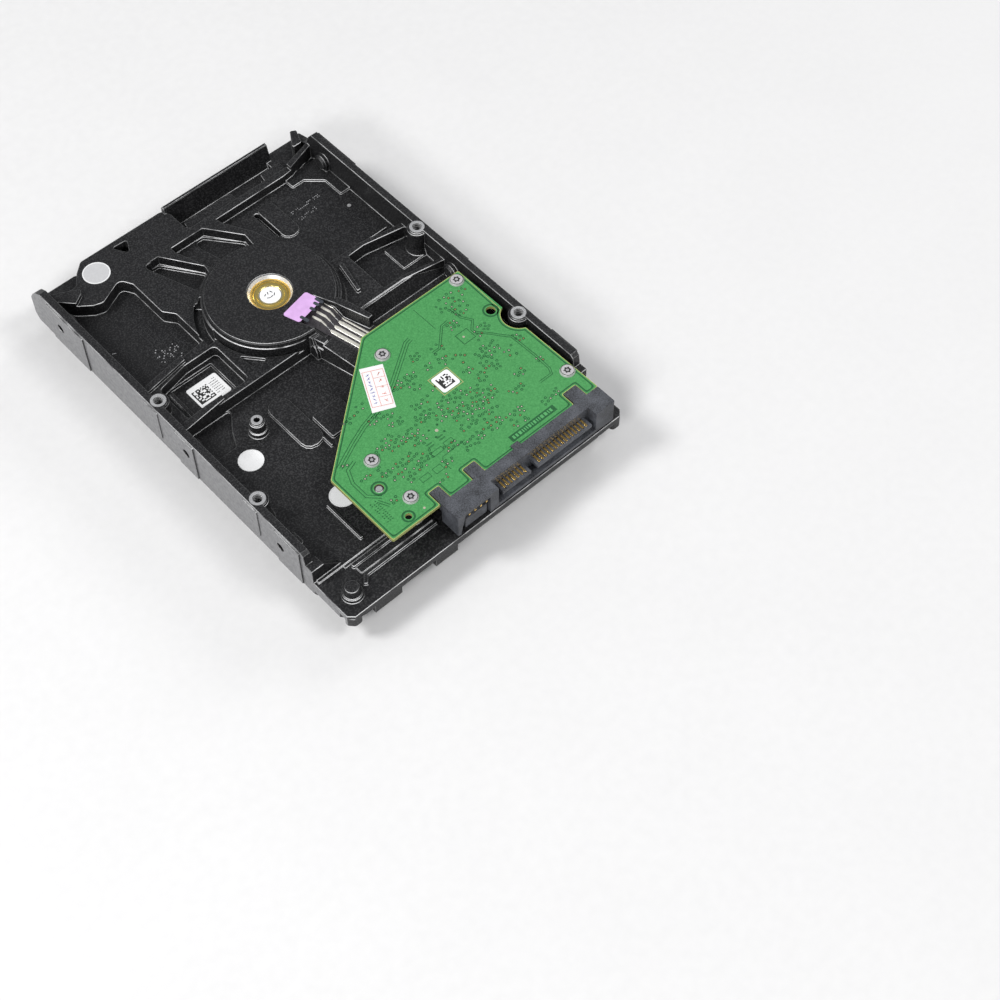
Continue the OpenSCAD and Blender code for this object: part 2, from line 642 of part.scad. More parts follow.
module sata_housing()
  color([0.32, 0.33, 0.37])
    difference() {
      union() {
        soft_block([-12.3, end_y, housing_low], [46, housing_back, housing_top], 0.3);
        block([-12.3, -67, pcb_low - 2], [46, -64.5, pcb_low]);
        block([-12.3, -67, pcb_low - 2], [-9.1, -61.9, housing_top]);
        block([-0.4, -67, pcb_low - 2], [3.5, -62.3, housing_top]);
        block([37.2, -67, pcb_low - 2], [41.7, -62.1, housing_top]);
        block([14.2, -67, pcb_z + 0.1], [16.8, -65.2, housing_top]);
      }
      // Open space around the tongues, open above and at the end.
      difference() {
        block([2.4, end_y - 1, housing_low + 1.2], [39, -70.2, drive_h + 1]);
        block([tongue_low_x, end_y - 2, tongue_z - 0.6], [tongue_low_x + data_w, -70, tongue_z + 0.63]);
        block([tongue_low_x + data_w + gap_w, end_y - 2, tongue_z - 0.6],
              [tongue_low_x + data_w + gap_w + power_w, -70, tongue_z + 0.63]);
      }
      // Recess around the jumper pins, under the top plate, beside the slanted leg.
      difference() {
        translate([0, -70, 0])
          rotate([90, 0, 0])
            linear_extrude(10)
              polygon([[-11.4, 8], [-0.6, 8], [-0.6, plate_low], [-9.6, plate_low], [-11.2, 12.4]]);
        block([-9, end_y + 0.9, 0], [-1.2, -69, 15.4]);
      }
      // Left side of the leg narrows towards the end.
      slab([[-13, end_y - 1], [-11.9, end_y - 1], [-13, -71.4]], housing_low - 1, drive_h + 1);
      // Grooves that the contacts lie in.
      for (x = contact_xs())
        block([x - 0.31, end_y + 0.6, tongue_z + 0.38], [x + 0.31, -70, tongue_z + 1]);
    }

function contact_xs() = concat(
  [for (i = [0:6]) tongue_low_x + (data_w - 6 * sata_pitch) / 2 + i * sata_pitch],
  [for (i = [0:14]) tongue_low_x + data_w + gap_w + (power_w - 14 * sata_pitch) / 2 + i * sata_pitch]);

module sata_contacts()
  color("gold")
    for (x = contact_xs())
      block([x - 0.3, end_y + 0.7, tongue_z + 0.38], [x + 0.3, -70.02, tongue_z + 0.68]);

module jumper_pins()
  color("gold")
    for (x = jumper_xs)
      block([x - 0.32, end_y + 0.3, 17.3], [x + 0.32, -70, 17.94]);

// ---- motor flex -------------------------------------------------------------------

// Place of the flexible circuit: its own v axis runs from the patch to the board.
module along_flex() translate([2.3, 14.1, 0]) rotate([0, 0, 13.5]) children();

module motor_flex()
  color("navajowhite")
    along_flex()
      intersection() {
        translate([-6, 0, 0])
          rotate([90, 0, 90])
            linear_extrude(14)
              polygon([[-28.4, bed_z + 0.02], [-12.5, bed_z + 0.02], [-9.4, trench_z + 0.02],
                       [-4.5, trench_z + 0.02], [-2.5, plateau_z + 0.02], [-0.6, plateau_z + 0.02],
                       [-0.6, plateau_z + 0.12], [-2.6, plateau_z + 0.12], [-4.6, trench_z + 0.14],
                       [-9.5, trench_z + 0.14], [-12.6, bed_z + 0.14], [-28.4, bed_z + 0.14]]);
        slab([[-4.4, 0], [4.8, 0], [5.2, -5.6], [6.5, -11], [7.3, -28.4], [-0.9, -28.4], [-0.9, -13],
              [-3.4, -8], [-4.4, -5]], 14, 21);
      }

module flex_patch()
  color("plum")
    slab([[-2.9, 13], [7.5, 15.2], [9, 9.6], [-1, 7.5]], plateau_z + 0.13, plateau_z + 0.28, 0.8);

module motor_contact_block()
  color([0.2, 0.2, 0.22]) along_flex() block([0.6, -28, bed_z + 0.16], [6.4, -25.2, pcb_low]);

// ---- spindle motor ------------------------------------------------------------------

module bearing_sleeve()
  color("goldenrod")
    at_spindle()
      difference() {
        union() {
          rod([0, 0], sleeve_r, motor_well_z, 18.4);
          rod([0, 0], 5.4, 8.6, 18);
        }
        rod([0, 0], shaft_r + 0.02, 8, 17);
        rod([0, 0], label_well_r, 16.9, 19);
        rotate_extrude($fn = 96) polygon([[3.9, 18.6], [5.2, 18.6], [4.9, 18.05], [4.2, 18.05]]);
      }

module bearing_end_plate()
  color("silver") at_spindle() rod([0, 0], label_well_r - 0.01, 17.1, 18.1);

module motor_label()
  color("white") at_spindle() rod([0, 0], 3.1, 18.1, 18.22);

module stator_core()
  color("slategray")
    at_spindle()
      difference() {
        union() {
          rod([0, 0], 7.6, 10.6, 13.4);
          for (i = [0:8])
            rotate([0, 0, 40 * i + 7]) {
              block([6.8, -0.9, 10.6], [12, 0.9, 13.4]);
              block([11.7, -3.1, 10.6], [12.8, 3.1, 13.4]);
            }
        }
        rod([0, 0], 5.43, 9, 15);
      }

module stator_coils()
  color("chocolate")
    at_spindle()
      for (i = [0:8])
        rotate([0, 0, 40 * i + 7])
          difference() {
            soft_block([8.1, -1.8, 9.8], [11.4, 1.8, 14.2], 0.5);
            block([7, -0.92, 10.58], [12, 0.92, 13.42]);
          }

module motor_shaft()
  color("lightsteelblue") at_spindle() rod([0, 0], shaft_r, 4.6, 16.8);

module spindle_hub()
  color("silver")
    at_spindle()
      difference() {
        rotate_extrude($fn = 96)
          polygon([[shaft_r, 4.5], [12.45, 4.5], [12.45, disk_top], [15.2, disk_top], [15.2, 6.9],
                   [16.6, 6.9], [16.6, 14.6], [15.2, 14.6], [15.2, 8.6], [13.6, 7.9],
                   [6.2, 7.9], [6.2, 8.2], [shaft_r, 8.2]]);
        for (i = [0:5])
          rotate([0, 0, 60 * i]) rod([9, 0], 0.8, 4, 7);
      }

module rotor_magnet()
  color([0.25, 0.25, 0.27]) at_spindle() ring([0, 0], 15.18, 13.6, 9.4, 14.4);

module disk()
  color("lightgray") at_spindle() ring([0, 0], disk_r, 12.5, disk_z, disk_top, $fn = 128);

module disk_clamp()
  color("silver")
    at_spindle()
      difference() {
        rotate_extrude($fn = 96)
          polygon([[3, 3.5], [12.2, 3.5], [13, 3.7], [14.9, 3.7], [14.9, disk_z], [12.6, disk_z],
                   [12.2, 4.3], [3, 4.3]]);
        for (i = [0:5])
          rotate([0, 0, 60 * i]) rod([9, 0], 1.05, 3, 5);
      }

module clamp_screws()
  color("gray")
    at_spindle()
      for (i = [0:5])
        rotate([0, 0, 60 * i])
          difference() {
            union() {
              rod([9, 0], 1.7, 2.7, 3.5);
              rod([9, 0], 0.78, 3.4, 6.6);
            }
            translate([9, 0, 2]) cylinder(r = 0.6, h = 1.2, $fn = 6);
          }

// ---- actuator -----------------------------------------------------------------------

// The moving parts are drawn along +X from the pivot and turned to the parked place.
module along_arm() at_pivot() rotate([0, 0, park_deg]) children();

arm_low = [2.75, 3.65];
arm_high = [6.45, 7.35];

module pivot_shaft()
  color("silver")
    at_pivot()
      difference() {
        union() {
          rod([0, 0], 2.4, 1.8, bay_z);
          rod([0, 0], 1.2, 8, bay_z + 1.1);
        }
        translate([0, 0, 1]) cylinder(r = 0.9, h = 2.4, $fn = 6);
      }

module pivot_sleeve()
  color("lightsteelblue") at_pivot() ring([0, 0], 4.6, 2.44, 2.5, 8.5);

module arm_block()
  color("silver")
    along_arm()
      difference() {
        union() {
          rod([0, 0], 7.2, 2.75, 8.2);
          for (z = [arm_low, arm_high])
            slab([[0, -6.6], [30, -3.4], [36.5, -2.2], [36.5, 2.2], [30, 3.2], [0, 6.6]], z[0], z[1], 0.8);
          slab([[-2, -7], [-2, 7], [-8, 9.8], [-19, 11.6], [-19, 10], [-9.5, 8.2], [-7.6, 4],
                [-7.6, -4], [-9.5, -8.2], [-19, -10], [-19, -11.6], [-8, -9.8]], 4.7, 6.3);
        }
        rod([0, 0], 4.62, 2, 9);
        for (z = [arm_low, arm_high])
          slab([[13, -2.6], [24, -1.6], [24, 1.4], [13, 2.4]], z[0] - 1, z[1] + 0.1, 0.8);
      }

module suspensions()
  color("silver")
    along_arm() {
      slab([[31, -2], [arm_reach - 3, -1], [arm_reach + 2.4, -0.4], [arm_reach + 2.4, 0.4],
            [arm_reach - 3, 1], [31, 2]], arm_low[1], arm_low[1] + 0.15);
      slab([[31, -2], [arm_reach - 3, -1], [arm_reach + 2.4, -0.4], [arm_reach + 2.4, 0.4],
            [arm_reach - 3, 1], [31, 2]], arm_high[0] - 0.15, arm_high[0]);
    }

module sliders()
  color([0.2, 0.2, 0.22])
    along_arm() {
      block([arm_reach - 0.6, -0.5, arm_low[1] + 0.16], [arm_reach + 0.6, 0.5, disk_z - 0.06]);
      block([arm_reach - 0.6, -0.5, disk_top + 0.06], [arm_reach + 0.6, 0.5, arm_high[0] - 0.16]);
    }

module voice_coil()
  color("chocolate")
    along_arm()
      difference() {
        slab([[-8, -3.6], [-8, 3.6], [-10, 7.8], [-19.6, 9.7], [-20.6, 0], [-19.6, -9.7], [-10, -7.8]],
             4.7, 6.3, 1.4);
        slab([[-11, -3.2], [-11, 3.2], [-17.2, 5.4], [-17.9, 0], [-17.2, -5.4]], 4, 7, 0.6);
      }

// Fixed magnet assembly around the coil, centred on the coil's mid travel.
module along_coil() at_pivot() rotate([0, 0, park_deg + 16]) children();

module yoke_shape(low, high)
  intersection() {
    along_coil()
      difference() {
        slab([[-9.4, -8.4], [-9.4, 8.4], [-6, 13], [-6.4, 16.6], [-12, 17.4], [-26, 14.4],
              [-26, -13.4], [-12, -17], [-6.4, -16.6], [-6, -13]], low, high, 1.2);
        rod([-21.4, 0], 1.6, low - 1, high + 1);
      }
    block([-44.4, -62, low - 1], [0, -17.6, high + 1]);
  }

module lower_yoke() color("gray") yoke_shape(2, 3.4);
module upper_yoke() color("gray") yoke_shape(7.5, 8.9);

module yoke_magnets()
  color([0.6, 0.6, 0.62])
    along_coil()
      for (z = [[3.4, 4.3], [6.7, 7.5]])
        slab([[-10.4, -7], [-10.4, 7], [-13, 12.4], [-20.6, 13.4], [-21.4, 0], [-20.6, -13.2],
              [-13, -12]], z[0], z[1], 0.8);

module yoke_posts()
  color("silver")
    along_coil()
      for (at = [[-8, 15], [-8, -15]])
        rod(at, 1.2, 3.4, 7.5);

module crash_stops()
  color([0.15, 0.15, 0.15])
    at_pivot()
      for (a = [-75, 75])
        rotate([0, 0, park_deg + 196 + a]) rod([13.5, 0], 1.3, 3.5, bay_z);

latch_at = [-42.6, -21.6];

module latch_pin()
  color("silver") rod(latch_at, 0.8, 2, bay_z);

module latch_lever()
  color("khaki")
    difference() {
      union() {
        rod(latch_at, 1.9, 3.2, 7.6);
        translate([latch_at.x, latch_at.y, 0])
          rotate([0, 0, -12]) slab([[0, -1.2], [5.2, -0.6], [5.2, 0.6], [0, 1.2]], 4.8, 6.2, 0.3);
      }
      rod(latch_at, 0.84, 2, 9);
    }

module load_ramp()
  color("ivory")
    along_arm() {
      block([arm_reach + 3.2, -3.6, 2.4], [arm_reach + 7.4, 3, bay_z]);
      slab([[arm_reach + 1.2, -2.4], [arm_reach + 3.4, -2.4], [arm_reach + 3.4, 0.6],
            [arm_reach + 1.2, 0]], 4.3, 5.7);
    }

module head_flex()
  color("orange")
    along_arm() slab([[2, -8.6], [8, -8.4], [8, -8.1], [2, -8.3]], 3.4, 7.8);

module flex_bracket()
  color([0.2, 0.2, 0.22])
    difference() {
      soft_block([-3, -63, 5.6], [17, -52.8, bay_z], 1);
      rod([-0.6, -60.6], 0.8, 5, 8);
    }

module head_connector()
  color("ivory") block([1, -60.2, bay_z], [13, -55.8, pcb_low]);

module recirculation_filter()
  color("whitesmoke") soft_block([36, -24.4, 2.2], [42.6, -20.2, 8.4], 0.6);

module desiccant_pack()
  color("whitesmoke") soft_block([27, -61, 2.4], [42, -44.6, 8.8], 1.4);

// ---- assembly -----------------------------------------------------------------------

base_casting();
cover_gasket();
top_cover();
cover_screws();
cover_label();
breather_filter();
servo_access_seal();
screw_seals();
casting_label();
circuit_board();
board_screws();
controller_chip();
memory_chip();
motor_driver_chip();
board_components();
thermal_pad();
board_label();
paper_sticker();
sata_housing();
sata_contacts();
jumper_pins();
motor_flex();
flex_patch();
motor_contact_block();
bearing_sleeve();
bearing_end_plate();
motor_label();
stator_core();
stator_coils();
motor_shaft();
spindle_hub();
rotor_magnet();
disk();
disk_clamp();
clamp_screws();
pivot_shaft();
pivot_sleeve();
arm_block();
suspensions();
sliders();
voice_coil();
lower_yoke();
upper_yoke();
yoke_magnets();
yoke_posts();
crash_stops();
latch_pin();
latch_lever();
load_ramp();
head_flex();
flex_bracket();
head_connector();
recirculation_filter();
desiccant_pack();
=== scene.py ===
"""Looks of a 3.5-inch hard disk drive that lies on its cover, with the circuit board up.

The CAD nodes keep their shapes and get procedural materials. The pieces made here are the
fine things that a casting, a circuit board and its labels carry. Plan positions are in
millimetres in the CAD's own frame: -Y is the connector end and +X is the power side.
"""

import math
import random

import bmesh
import bpy
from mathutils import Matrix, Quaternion, Vector


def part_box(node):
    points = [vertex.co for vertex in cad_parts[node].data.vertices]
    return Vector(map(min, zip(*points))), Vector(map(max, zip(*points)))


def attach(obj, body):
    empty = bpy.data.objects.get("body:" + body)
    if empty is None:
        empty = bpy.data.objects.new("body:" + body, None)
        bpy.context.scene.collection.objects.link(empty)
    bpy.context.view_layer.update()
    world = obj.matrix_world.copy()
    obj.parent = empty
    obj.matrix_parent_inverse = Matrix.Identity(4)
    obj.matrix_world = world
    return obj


MM = 0.001
SPINDLE_Y = 22.4
# A piece that is printed or bonded on a face starts just below it and ends just above it.
INK_LOW, INK_HIGH = 0.005, 0.012
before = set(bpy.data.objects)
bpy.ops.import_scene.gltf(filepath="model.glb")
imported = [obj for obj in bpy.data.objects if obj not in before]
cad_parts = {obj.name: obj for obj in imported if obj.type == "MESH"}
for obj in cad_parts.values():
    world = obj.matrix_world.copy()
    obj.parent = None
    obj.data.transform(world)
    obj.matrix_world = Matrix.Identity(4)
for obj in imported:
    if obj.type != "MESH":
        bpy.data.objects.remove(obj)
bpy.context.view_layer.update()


def low_mm(node):
    """Lowest corner of a CAD node, in millimetres."""
    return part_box(node)[0] / MM


def high_mm(node):
    """Highest corner of a CAD node, in millimetres."""
    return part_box(node)[1] / MM


# ---- camera, lights and floor ------------------------------------------------

CAMERA_AT = Vector((-190.1, -286.2, 443.3)) * MM
CAMERA_AIM = Vector((14.96, -60.08, -13.05)) * MM
CAMERA_ROLL = math.radians(-0.208)
CAMERA_LENS = 68.35


def make_camera():
    data = bpy.data.cameras.new("camera")
    data.lens = CAMERA_LENS
    data.sensor_width = 36
    data.clip_end = 20
    camera = bpy.data.objects.new("camera", data)
    bpy.context.scene.collection.objects.link(camera)
    camera.location = CAMERA_AT
    camera.rotation_mode = "QUATERNION"
    facing = (CAMERA_AIM - CAMERA_AT).to_track_quat("-Z", "Y")
    camera.rotation_quaternion = facing @ Quaternion((0, 0, 1), CAMERA_ROLL)
    bpy.context.scene.camera = camera


def area_light(name, at, aim, size, power, tint=(1, 1, 1)):
    data = bpy.data.lights.new(name, "AREA")
    data.shape = "RECTANGLE"
    data.size, data.size_y = size
    data.energy = power
    data.color = tint
    light = bpy.data.objects.new(name, data)
    bpy.context.scene.collection.objects.link(light)
    light.location = at
    light.rotation_mode = "QUATERNION"
    light.rotation_quaternion = (Vector(aim) - Vector(at)).to_track_quat("-Z", "Y")


def make_lights():
    area_light("key", (-0.72, 0.5, 1.05), (0, 0, 0), (0.42, 0.36), 9.9)
    area_light("edges", (0.44, -0.62, 0.95), (0, 0, 0), (0.5, 0.3), 4.6)
    area_light("low", (-0.95, -0.45, 0.72), (0, 0, 0), (0.5, 0.2), 6.4)
    area_light("right", (1.2, 0.35, 0.7), (0.1, 0.1, 0), (0.6, 0.4), 4.5)
    world = bpy.data.worlds.new("studio")
    bpy.context.scene.world = world
    world.use_nodes = True
    background = world.node_tree.nodes["Background"]
    background.inputs["Color"].default_value = (0.93, 0.95, 1, 1)
    background.inputs["Strength"].default_value = 0.26


# ---- materials ---------------------------------------------------------------


class Shader:
    """A procedural material, built node by node on the object's own coordinates."""

    def __init__(self, name):
        self.material = bpy.data.materials.new(name)
        self.material.use_nodes = True
        self.tree = self.material.node_tree
        self.bsdf = self.tree.nodes["Principled BSDF"]
        self.place = self.add("TexCoord").outputs["Object"]

    def add(self, kind, inputs=(), **settings):
        node = self.tree.nodes.new("ShaderNode" + kind)
        for key, value in settings.items():
            setattr(node, key, value)
        for key, value in dict(inputs).items():
            self.put(node.inputs[key], value)
        return node

    def put(self, socket, value):
        """A value or another node's output goes into a socket."""
        if isinstance(value, bpy.types.NodeSocket):
            self.tree.links.new(value, socket)
        elif isinstance(value, tuple) and len(value) == 3 and socket.type == "RGBA":
            socket.default_value = (*value, 1)
        else:
            socket.default_value = value

    def set(self, **values):
        for key, value in values.items():
            self.put(self.bsdf.inputs[key.replace("_", " ")], value)

    def noise(self, size_mm, detail=3.0, stretch=None):
        place = self.place
        if stretch:
            place = self.add("Mapping", {"Vector": place, "Scale": stretch}).outputs[0]
        return self.add(
            "TexNoise", {"Vector": place, "Scale": 1000 / size_mm, "Detail": detail}
        ).outputs["Fac"]

    def cells(self, size_mm, feature="F1"):
        return self.add(
            "TexVoronoi", {"Vector": self.place, "Scale": 1000 / size_mm}, feature=feature
        ).outputs["Distance"]

    def span(self, value, low, high, to_low=0.0, to_high=1.0, smooth=False):
        """value, taken from low..high to to_low..to_high and held there."""
        return self.add(
            "MapRange",
            {
                "Value": value,
                "From Min": low,
                "From Max": high,
                "To Min": to_low,
                "To Max": to_high,
            },
            interpolation_type="SMOOTHSTEP" if smooth else "LINEAR",
        ).outputs["Result"]

    def math(self, operation, a, b=0.0):
        node = self.add("Math", operation=operation)
        self.put(node.inputs[0], a)
        self.put(node.inputs[1], b)
        return node.outputs[0]

    def dot(self, a, b):
        return self.add("VectorMath", {0: a, 1: b}, operation="DOT_PRODUCT").outputs["Value"]

    def mix(self, factor, a, b):
        node = self.add("Mix", data_type="RGBA")
        self.put(node.inputs["Factor"], factor)
        self.put(node.inputs[6], a)
        self.put(node.inputs[7], b)
        return node.outputs[2]

    def axis(self, source, name):
        return self.add("SeparateXYZ", {"Vector": source}).outputs[name]

    def bump(self, height, distance_mm, strength=1.0, edge_mm=0.0):
        inputs = {"Height": height, "Distance": distance_mm * MM, "Strength": strength}
        if edge_mm:
            inputs["Normal"] = self.add(
                "Bevel", {"Radius": edge_mm * MM}, samples=6
            ).outputs["Normal"]
        self.set(Normal=self.add("Bump", inputs).outputs["Normal"])


def shade(color, factor):
    return tuple(min(1, c * factor) for c in color)


def surface(
    name,
    color,
    rough,
    metal=0.0,
    vary=0.12,
    grain=0.5,
    relief=0.01,
    stretch=None,
    edge=0.0,
    **more,
):
    """A material with grain in its colour, its gloss and its height."""
    s = Shader(name)
    fine = s.noise(grain, 4, stretch)
    broad = s.noise(grain * 14, 2)
    both = s.math("ADD", s.math("MULTIPLY", fine, 0.6), s.math("MULTIPLY", broad, 0.4))
    tone = s.span(both, 0.35, 0.65)
    s.set(
        Base_Color=s.mix(tone, shade(color, 1 - vary), shade(color, 1 + vary)),
        Roughness=s.span(fine, 0.3, 0.7, rough * 0.85, min(1, rough * 1.15)),
        Metallic=metal,
        **more,
    )
    s.bump(fine, relief, edge_mm=edge)
    return s.material


# Radii in the mouth of the bearing's bore: up to the first it shows brass, up to the second
# it is machined bright.
LEDGE_R, MOUTH_R = 5.94, 6.57


def casting_material():
    """Satin black coat with a fine speckle and painted highlights on its edges, with grey painted
    on the outer side faces as a reflection, over metal that is bare where it is machined.
    """
    s = Shader("casting")
    speckle = s.noise(0.3, 2)
    patches = s.noise(16, 2)
    grains = s.span(s.noise(0.44, 2), 0.48, 0.64)
    coat = s.mix(
        s.span(s.math("ADD", speckle, s.math("MULTIPLY", patches, 0.3)), 0.5, 0.85),
        (0.0045, 0.0045, 0.005),
        (0.0125, 0.0125, 0.0135),
    )
    coat = s.mix(grains, coat, (0.038, 0.038, 0.039))
    normal = s.add("NewGeometry").outputs["Normal"]
    # Painted highlight: white is mixed into the coat colour on rounded edges that face up and
    # towards the connector's left, with a faint light tone on every rounded edge.
    rounded = s.add("Bevel", {"Radius": 0.46 * MM}, samples=8).outputs["Normal"]
    edge = s.span(s.dot(rounded, normal), 0.98, 0.93)
    highlight_facing = s.span(s.dot(rounded, (-0.42, -0.56, 0.71)), 0.66, 0.92)
    painted_highlight = s.math("MULTIPLY", highlight_facing, s.span(s.noise(7, 2), 0.34, 0.54, 0.15, 1))
    coat = s.mix(s.math("MULTIPLY", edge, s.math("ADD", painted_highlight, 0.04)), coat, (1, 1, 1))
    # Painted reflection: the outer side faces of the rails get a grey colour in place of the coat,
    # standing in for the bright floor and lamps reflected in the black coat.
    sideways = s.math("ABSOLUTE", s.axis(normal, "X"))
    outward = s.math("ABSOLUTE", s.axis(s.place, "X"))
    half_w = high_mm("base_casting").x * MM
    side_reflection_mask = s.math(
        "MULTIPLY",
        s.span(sideways, 0.9, 0.97),
        s.span(outward, half_w - 0.0012, half_w - 0.0009),
    )
    sleeve_low, sleeve_high = low_mm("bearing_sleeve"), high_mm("bearing_sleeve")
    middle = (sleeve_low + sleeve_high) * 0.5 * MM
    from_axis = s.add(
        "VectorMath",
        {0: s.place, 1: (middle.x, middle.y, 0)},
        operation="SUBTRACT",
    ).outputs[0]
    flat = s.add("VectorMath", {0: from_axis, 1: (1, 1, 0)}, operation="MULTIPLY").outputs[0]
    radius = s.add("VectorMath", {0: flat}, operation="LENGTH").outputs["Value"]
    mouth = s.math(
        "MULTIPLY",
        s.span(radius, (MOUTH_R - 0.02) * MM, (MOUTH_R + 0.02) * MM, 1, 0),
        s.span(s.axis(s.place, "Z"), 0.0182, 0.0183),
    )
    # Grey with a random tone, painted on the outer side faces as a reflection of the floor and
    # lamps.
    bare = s.mix(s.span(s.noise(1.1, 4), 0.3, 0.7), (0.2, 0.2, 0.205), (0.3, 0.3, 0.305))
    ledge = s.span(radius, (LEDGE_R - 0.02) * MM, (LEDGE_R + 0.02) * MM)
    turned_face = s.mix(ledge, (0.86, 0.56, 0.13), (0.95, 0.95, 0.95))
    colour = s.mix(mouth, s.mix(side_reflection_mask, coat, bare), turned_face)
    s.set(
        Base_Color=colour,
        Roughness=s.math(
            "ADD", s.span(speckle, 0.3, 0.7, 0.36, 0.5), s.math("MULTIPLY", side_reflection_mask, 0.1)
        ),
        Metallic=s.math("MAXIMUM", s.math("MULTIPLY", side_reflection_mask, 0.3), s.math("MULTIPLY", mouth, 0.8)),
        Specular_IOR_Level=0.4,
    )
    s.bump(speckle, 0.014, edge_mm=0.3)
    return s.material


def board_material():
    """Green solder mask over copper, with a resin edge."""
    s = Shader("board")
    copper = s.span(s.cells(2.6, "DISTANCE_TO_EDGE"), 0.0, 0.12, smooth=True)
    mottle = s.noise(0.45, 3)
    mask = s.mix(s.span(mottle, 0.3, 0.7), (0.052, 0.25, 0.072), (0.082, 0.345, 0.105))
    mask = s.mix(s.math("MULTIPLY", s.span(copper, 0, 1, 1, 0), 0.12), mask, (0.03, 0.17, 0.05))
    normal = s.add("NewGeometry").outputs["Normal"]
    upright = s.span(s.math("ABSOLUTE", s.axis(normal, "Z")), 0.4, 0.7)
    s.set(
        Base_Color=s.mix(upright, (0.34, 0.35, 0.12), mask),
        Roughness=s.span(mottle, 0.3, 0.7, 0.36, 0.5),
        Specular_IOR_Level=0.45,
    )
    s.bump(mottle, 0.006)
    return s.material


def turned_material(name, color, rough, centre, pitch_mm=0.22):
    """Metal with the fine rings that a lathe leaves round centre."""
    s = Shader(name)
    shifted = s.add(
        "Mapping", {"Vector": s.place, "Location": tuple(-c * MM for c in centre)}
    ).outputs[0]
    rings = s.add(
        "TexWave",
        {"Vector": shifted, "Scale": 1000 / pitch_mm / 20, "Distortion": 0.6, "Detail": 2},
        wave_type="RINGS",
        rings_direction="Z",
    ).outputs["Fac"]
    s.set(
        Base_Color=s.mix(rings, shade(color, 0.7), shade(color, 1.12)),
        Metallic=1.0,
        Roughness=s.span(rings, 0, 1, rough * 0.8, rough * 1.2),
    )
    s.bump(rings, 0.004)
    return s.material


def wound_material(name, color, wire_mm):
    """Enamelled wire laid side by side."""
    s = Shader(name)
    turns = s.add(
        "TexWave",
        {"Vector": s.place, "Scale": 1000 / wire_mm / 20, "Distortion": 0.4},
        bands_direction="Z",
    ).outputs["Fac"]
    s.set(
        Base_Color=s.mix(turns, shade(color, 0.5), color),
        Metallic=0.8,
        Roughness=0.32,
    )
    s.bump(turns, 0.05)
    return s.material


def fibre_material(name, color):
    """Pressed fibre: short threads that cross."""
    s = Shader(name)
    threads = s.noise(0.35, 5, stretch=(1, 0.25, 1))
    crossing = s.noise(0.35, 5, stretch=(0.25, 1, 1))
    both = s.math("MAXIMUM", threads, crossing)
    s.set(
        Base_Color=s.mix(s.span(both, 0.4, 0.75), shade(color, 0.8), color),
        Roughness=0.95,
        Sheen_Weight=0.3,
    )
    s.bump(both, 0.08)
    return s.material


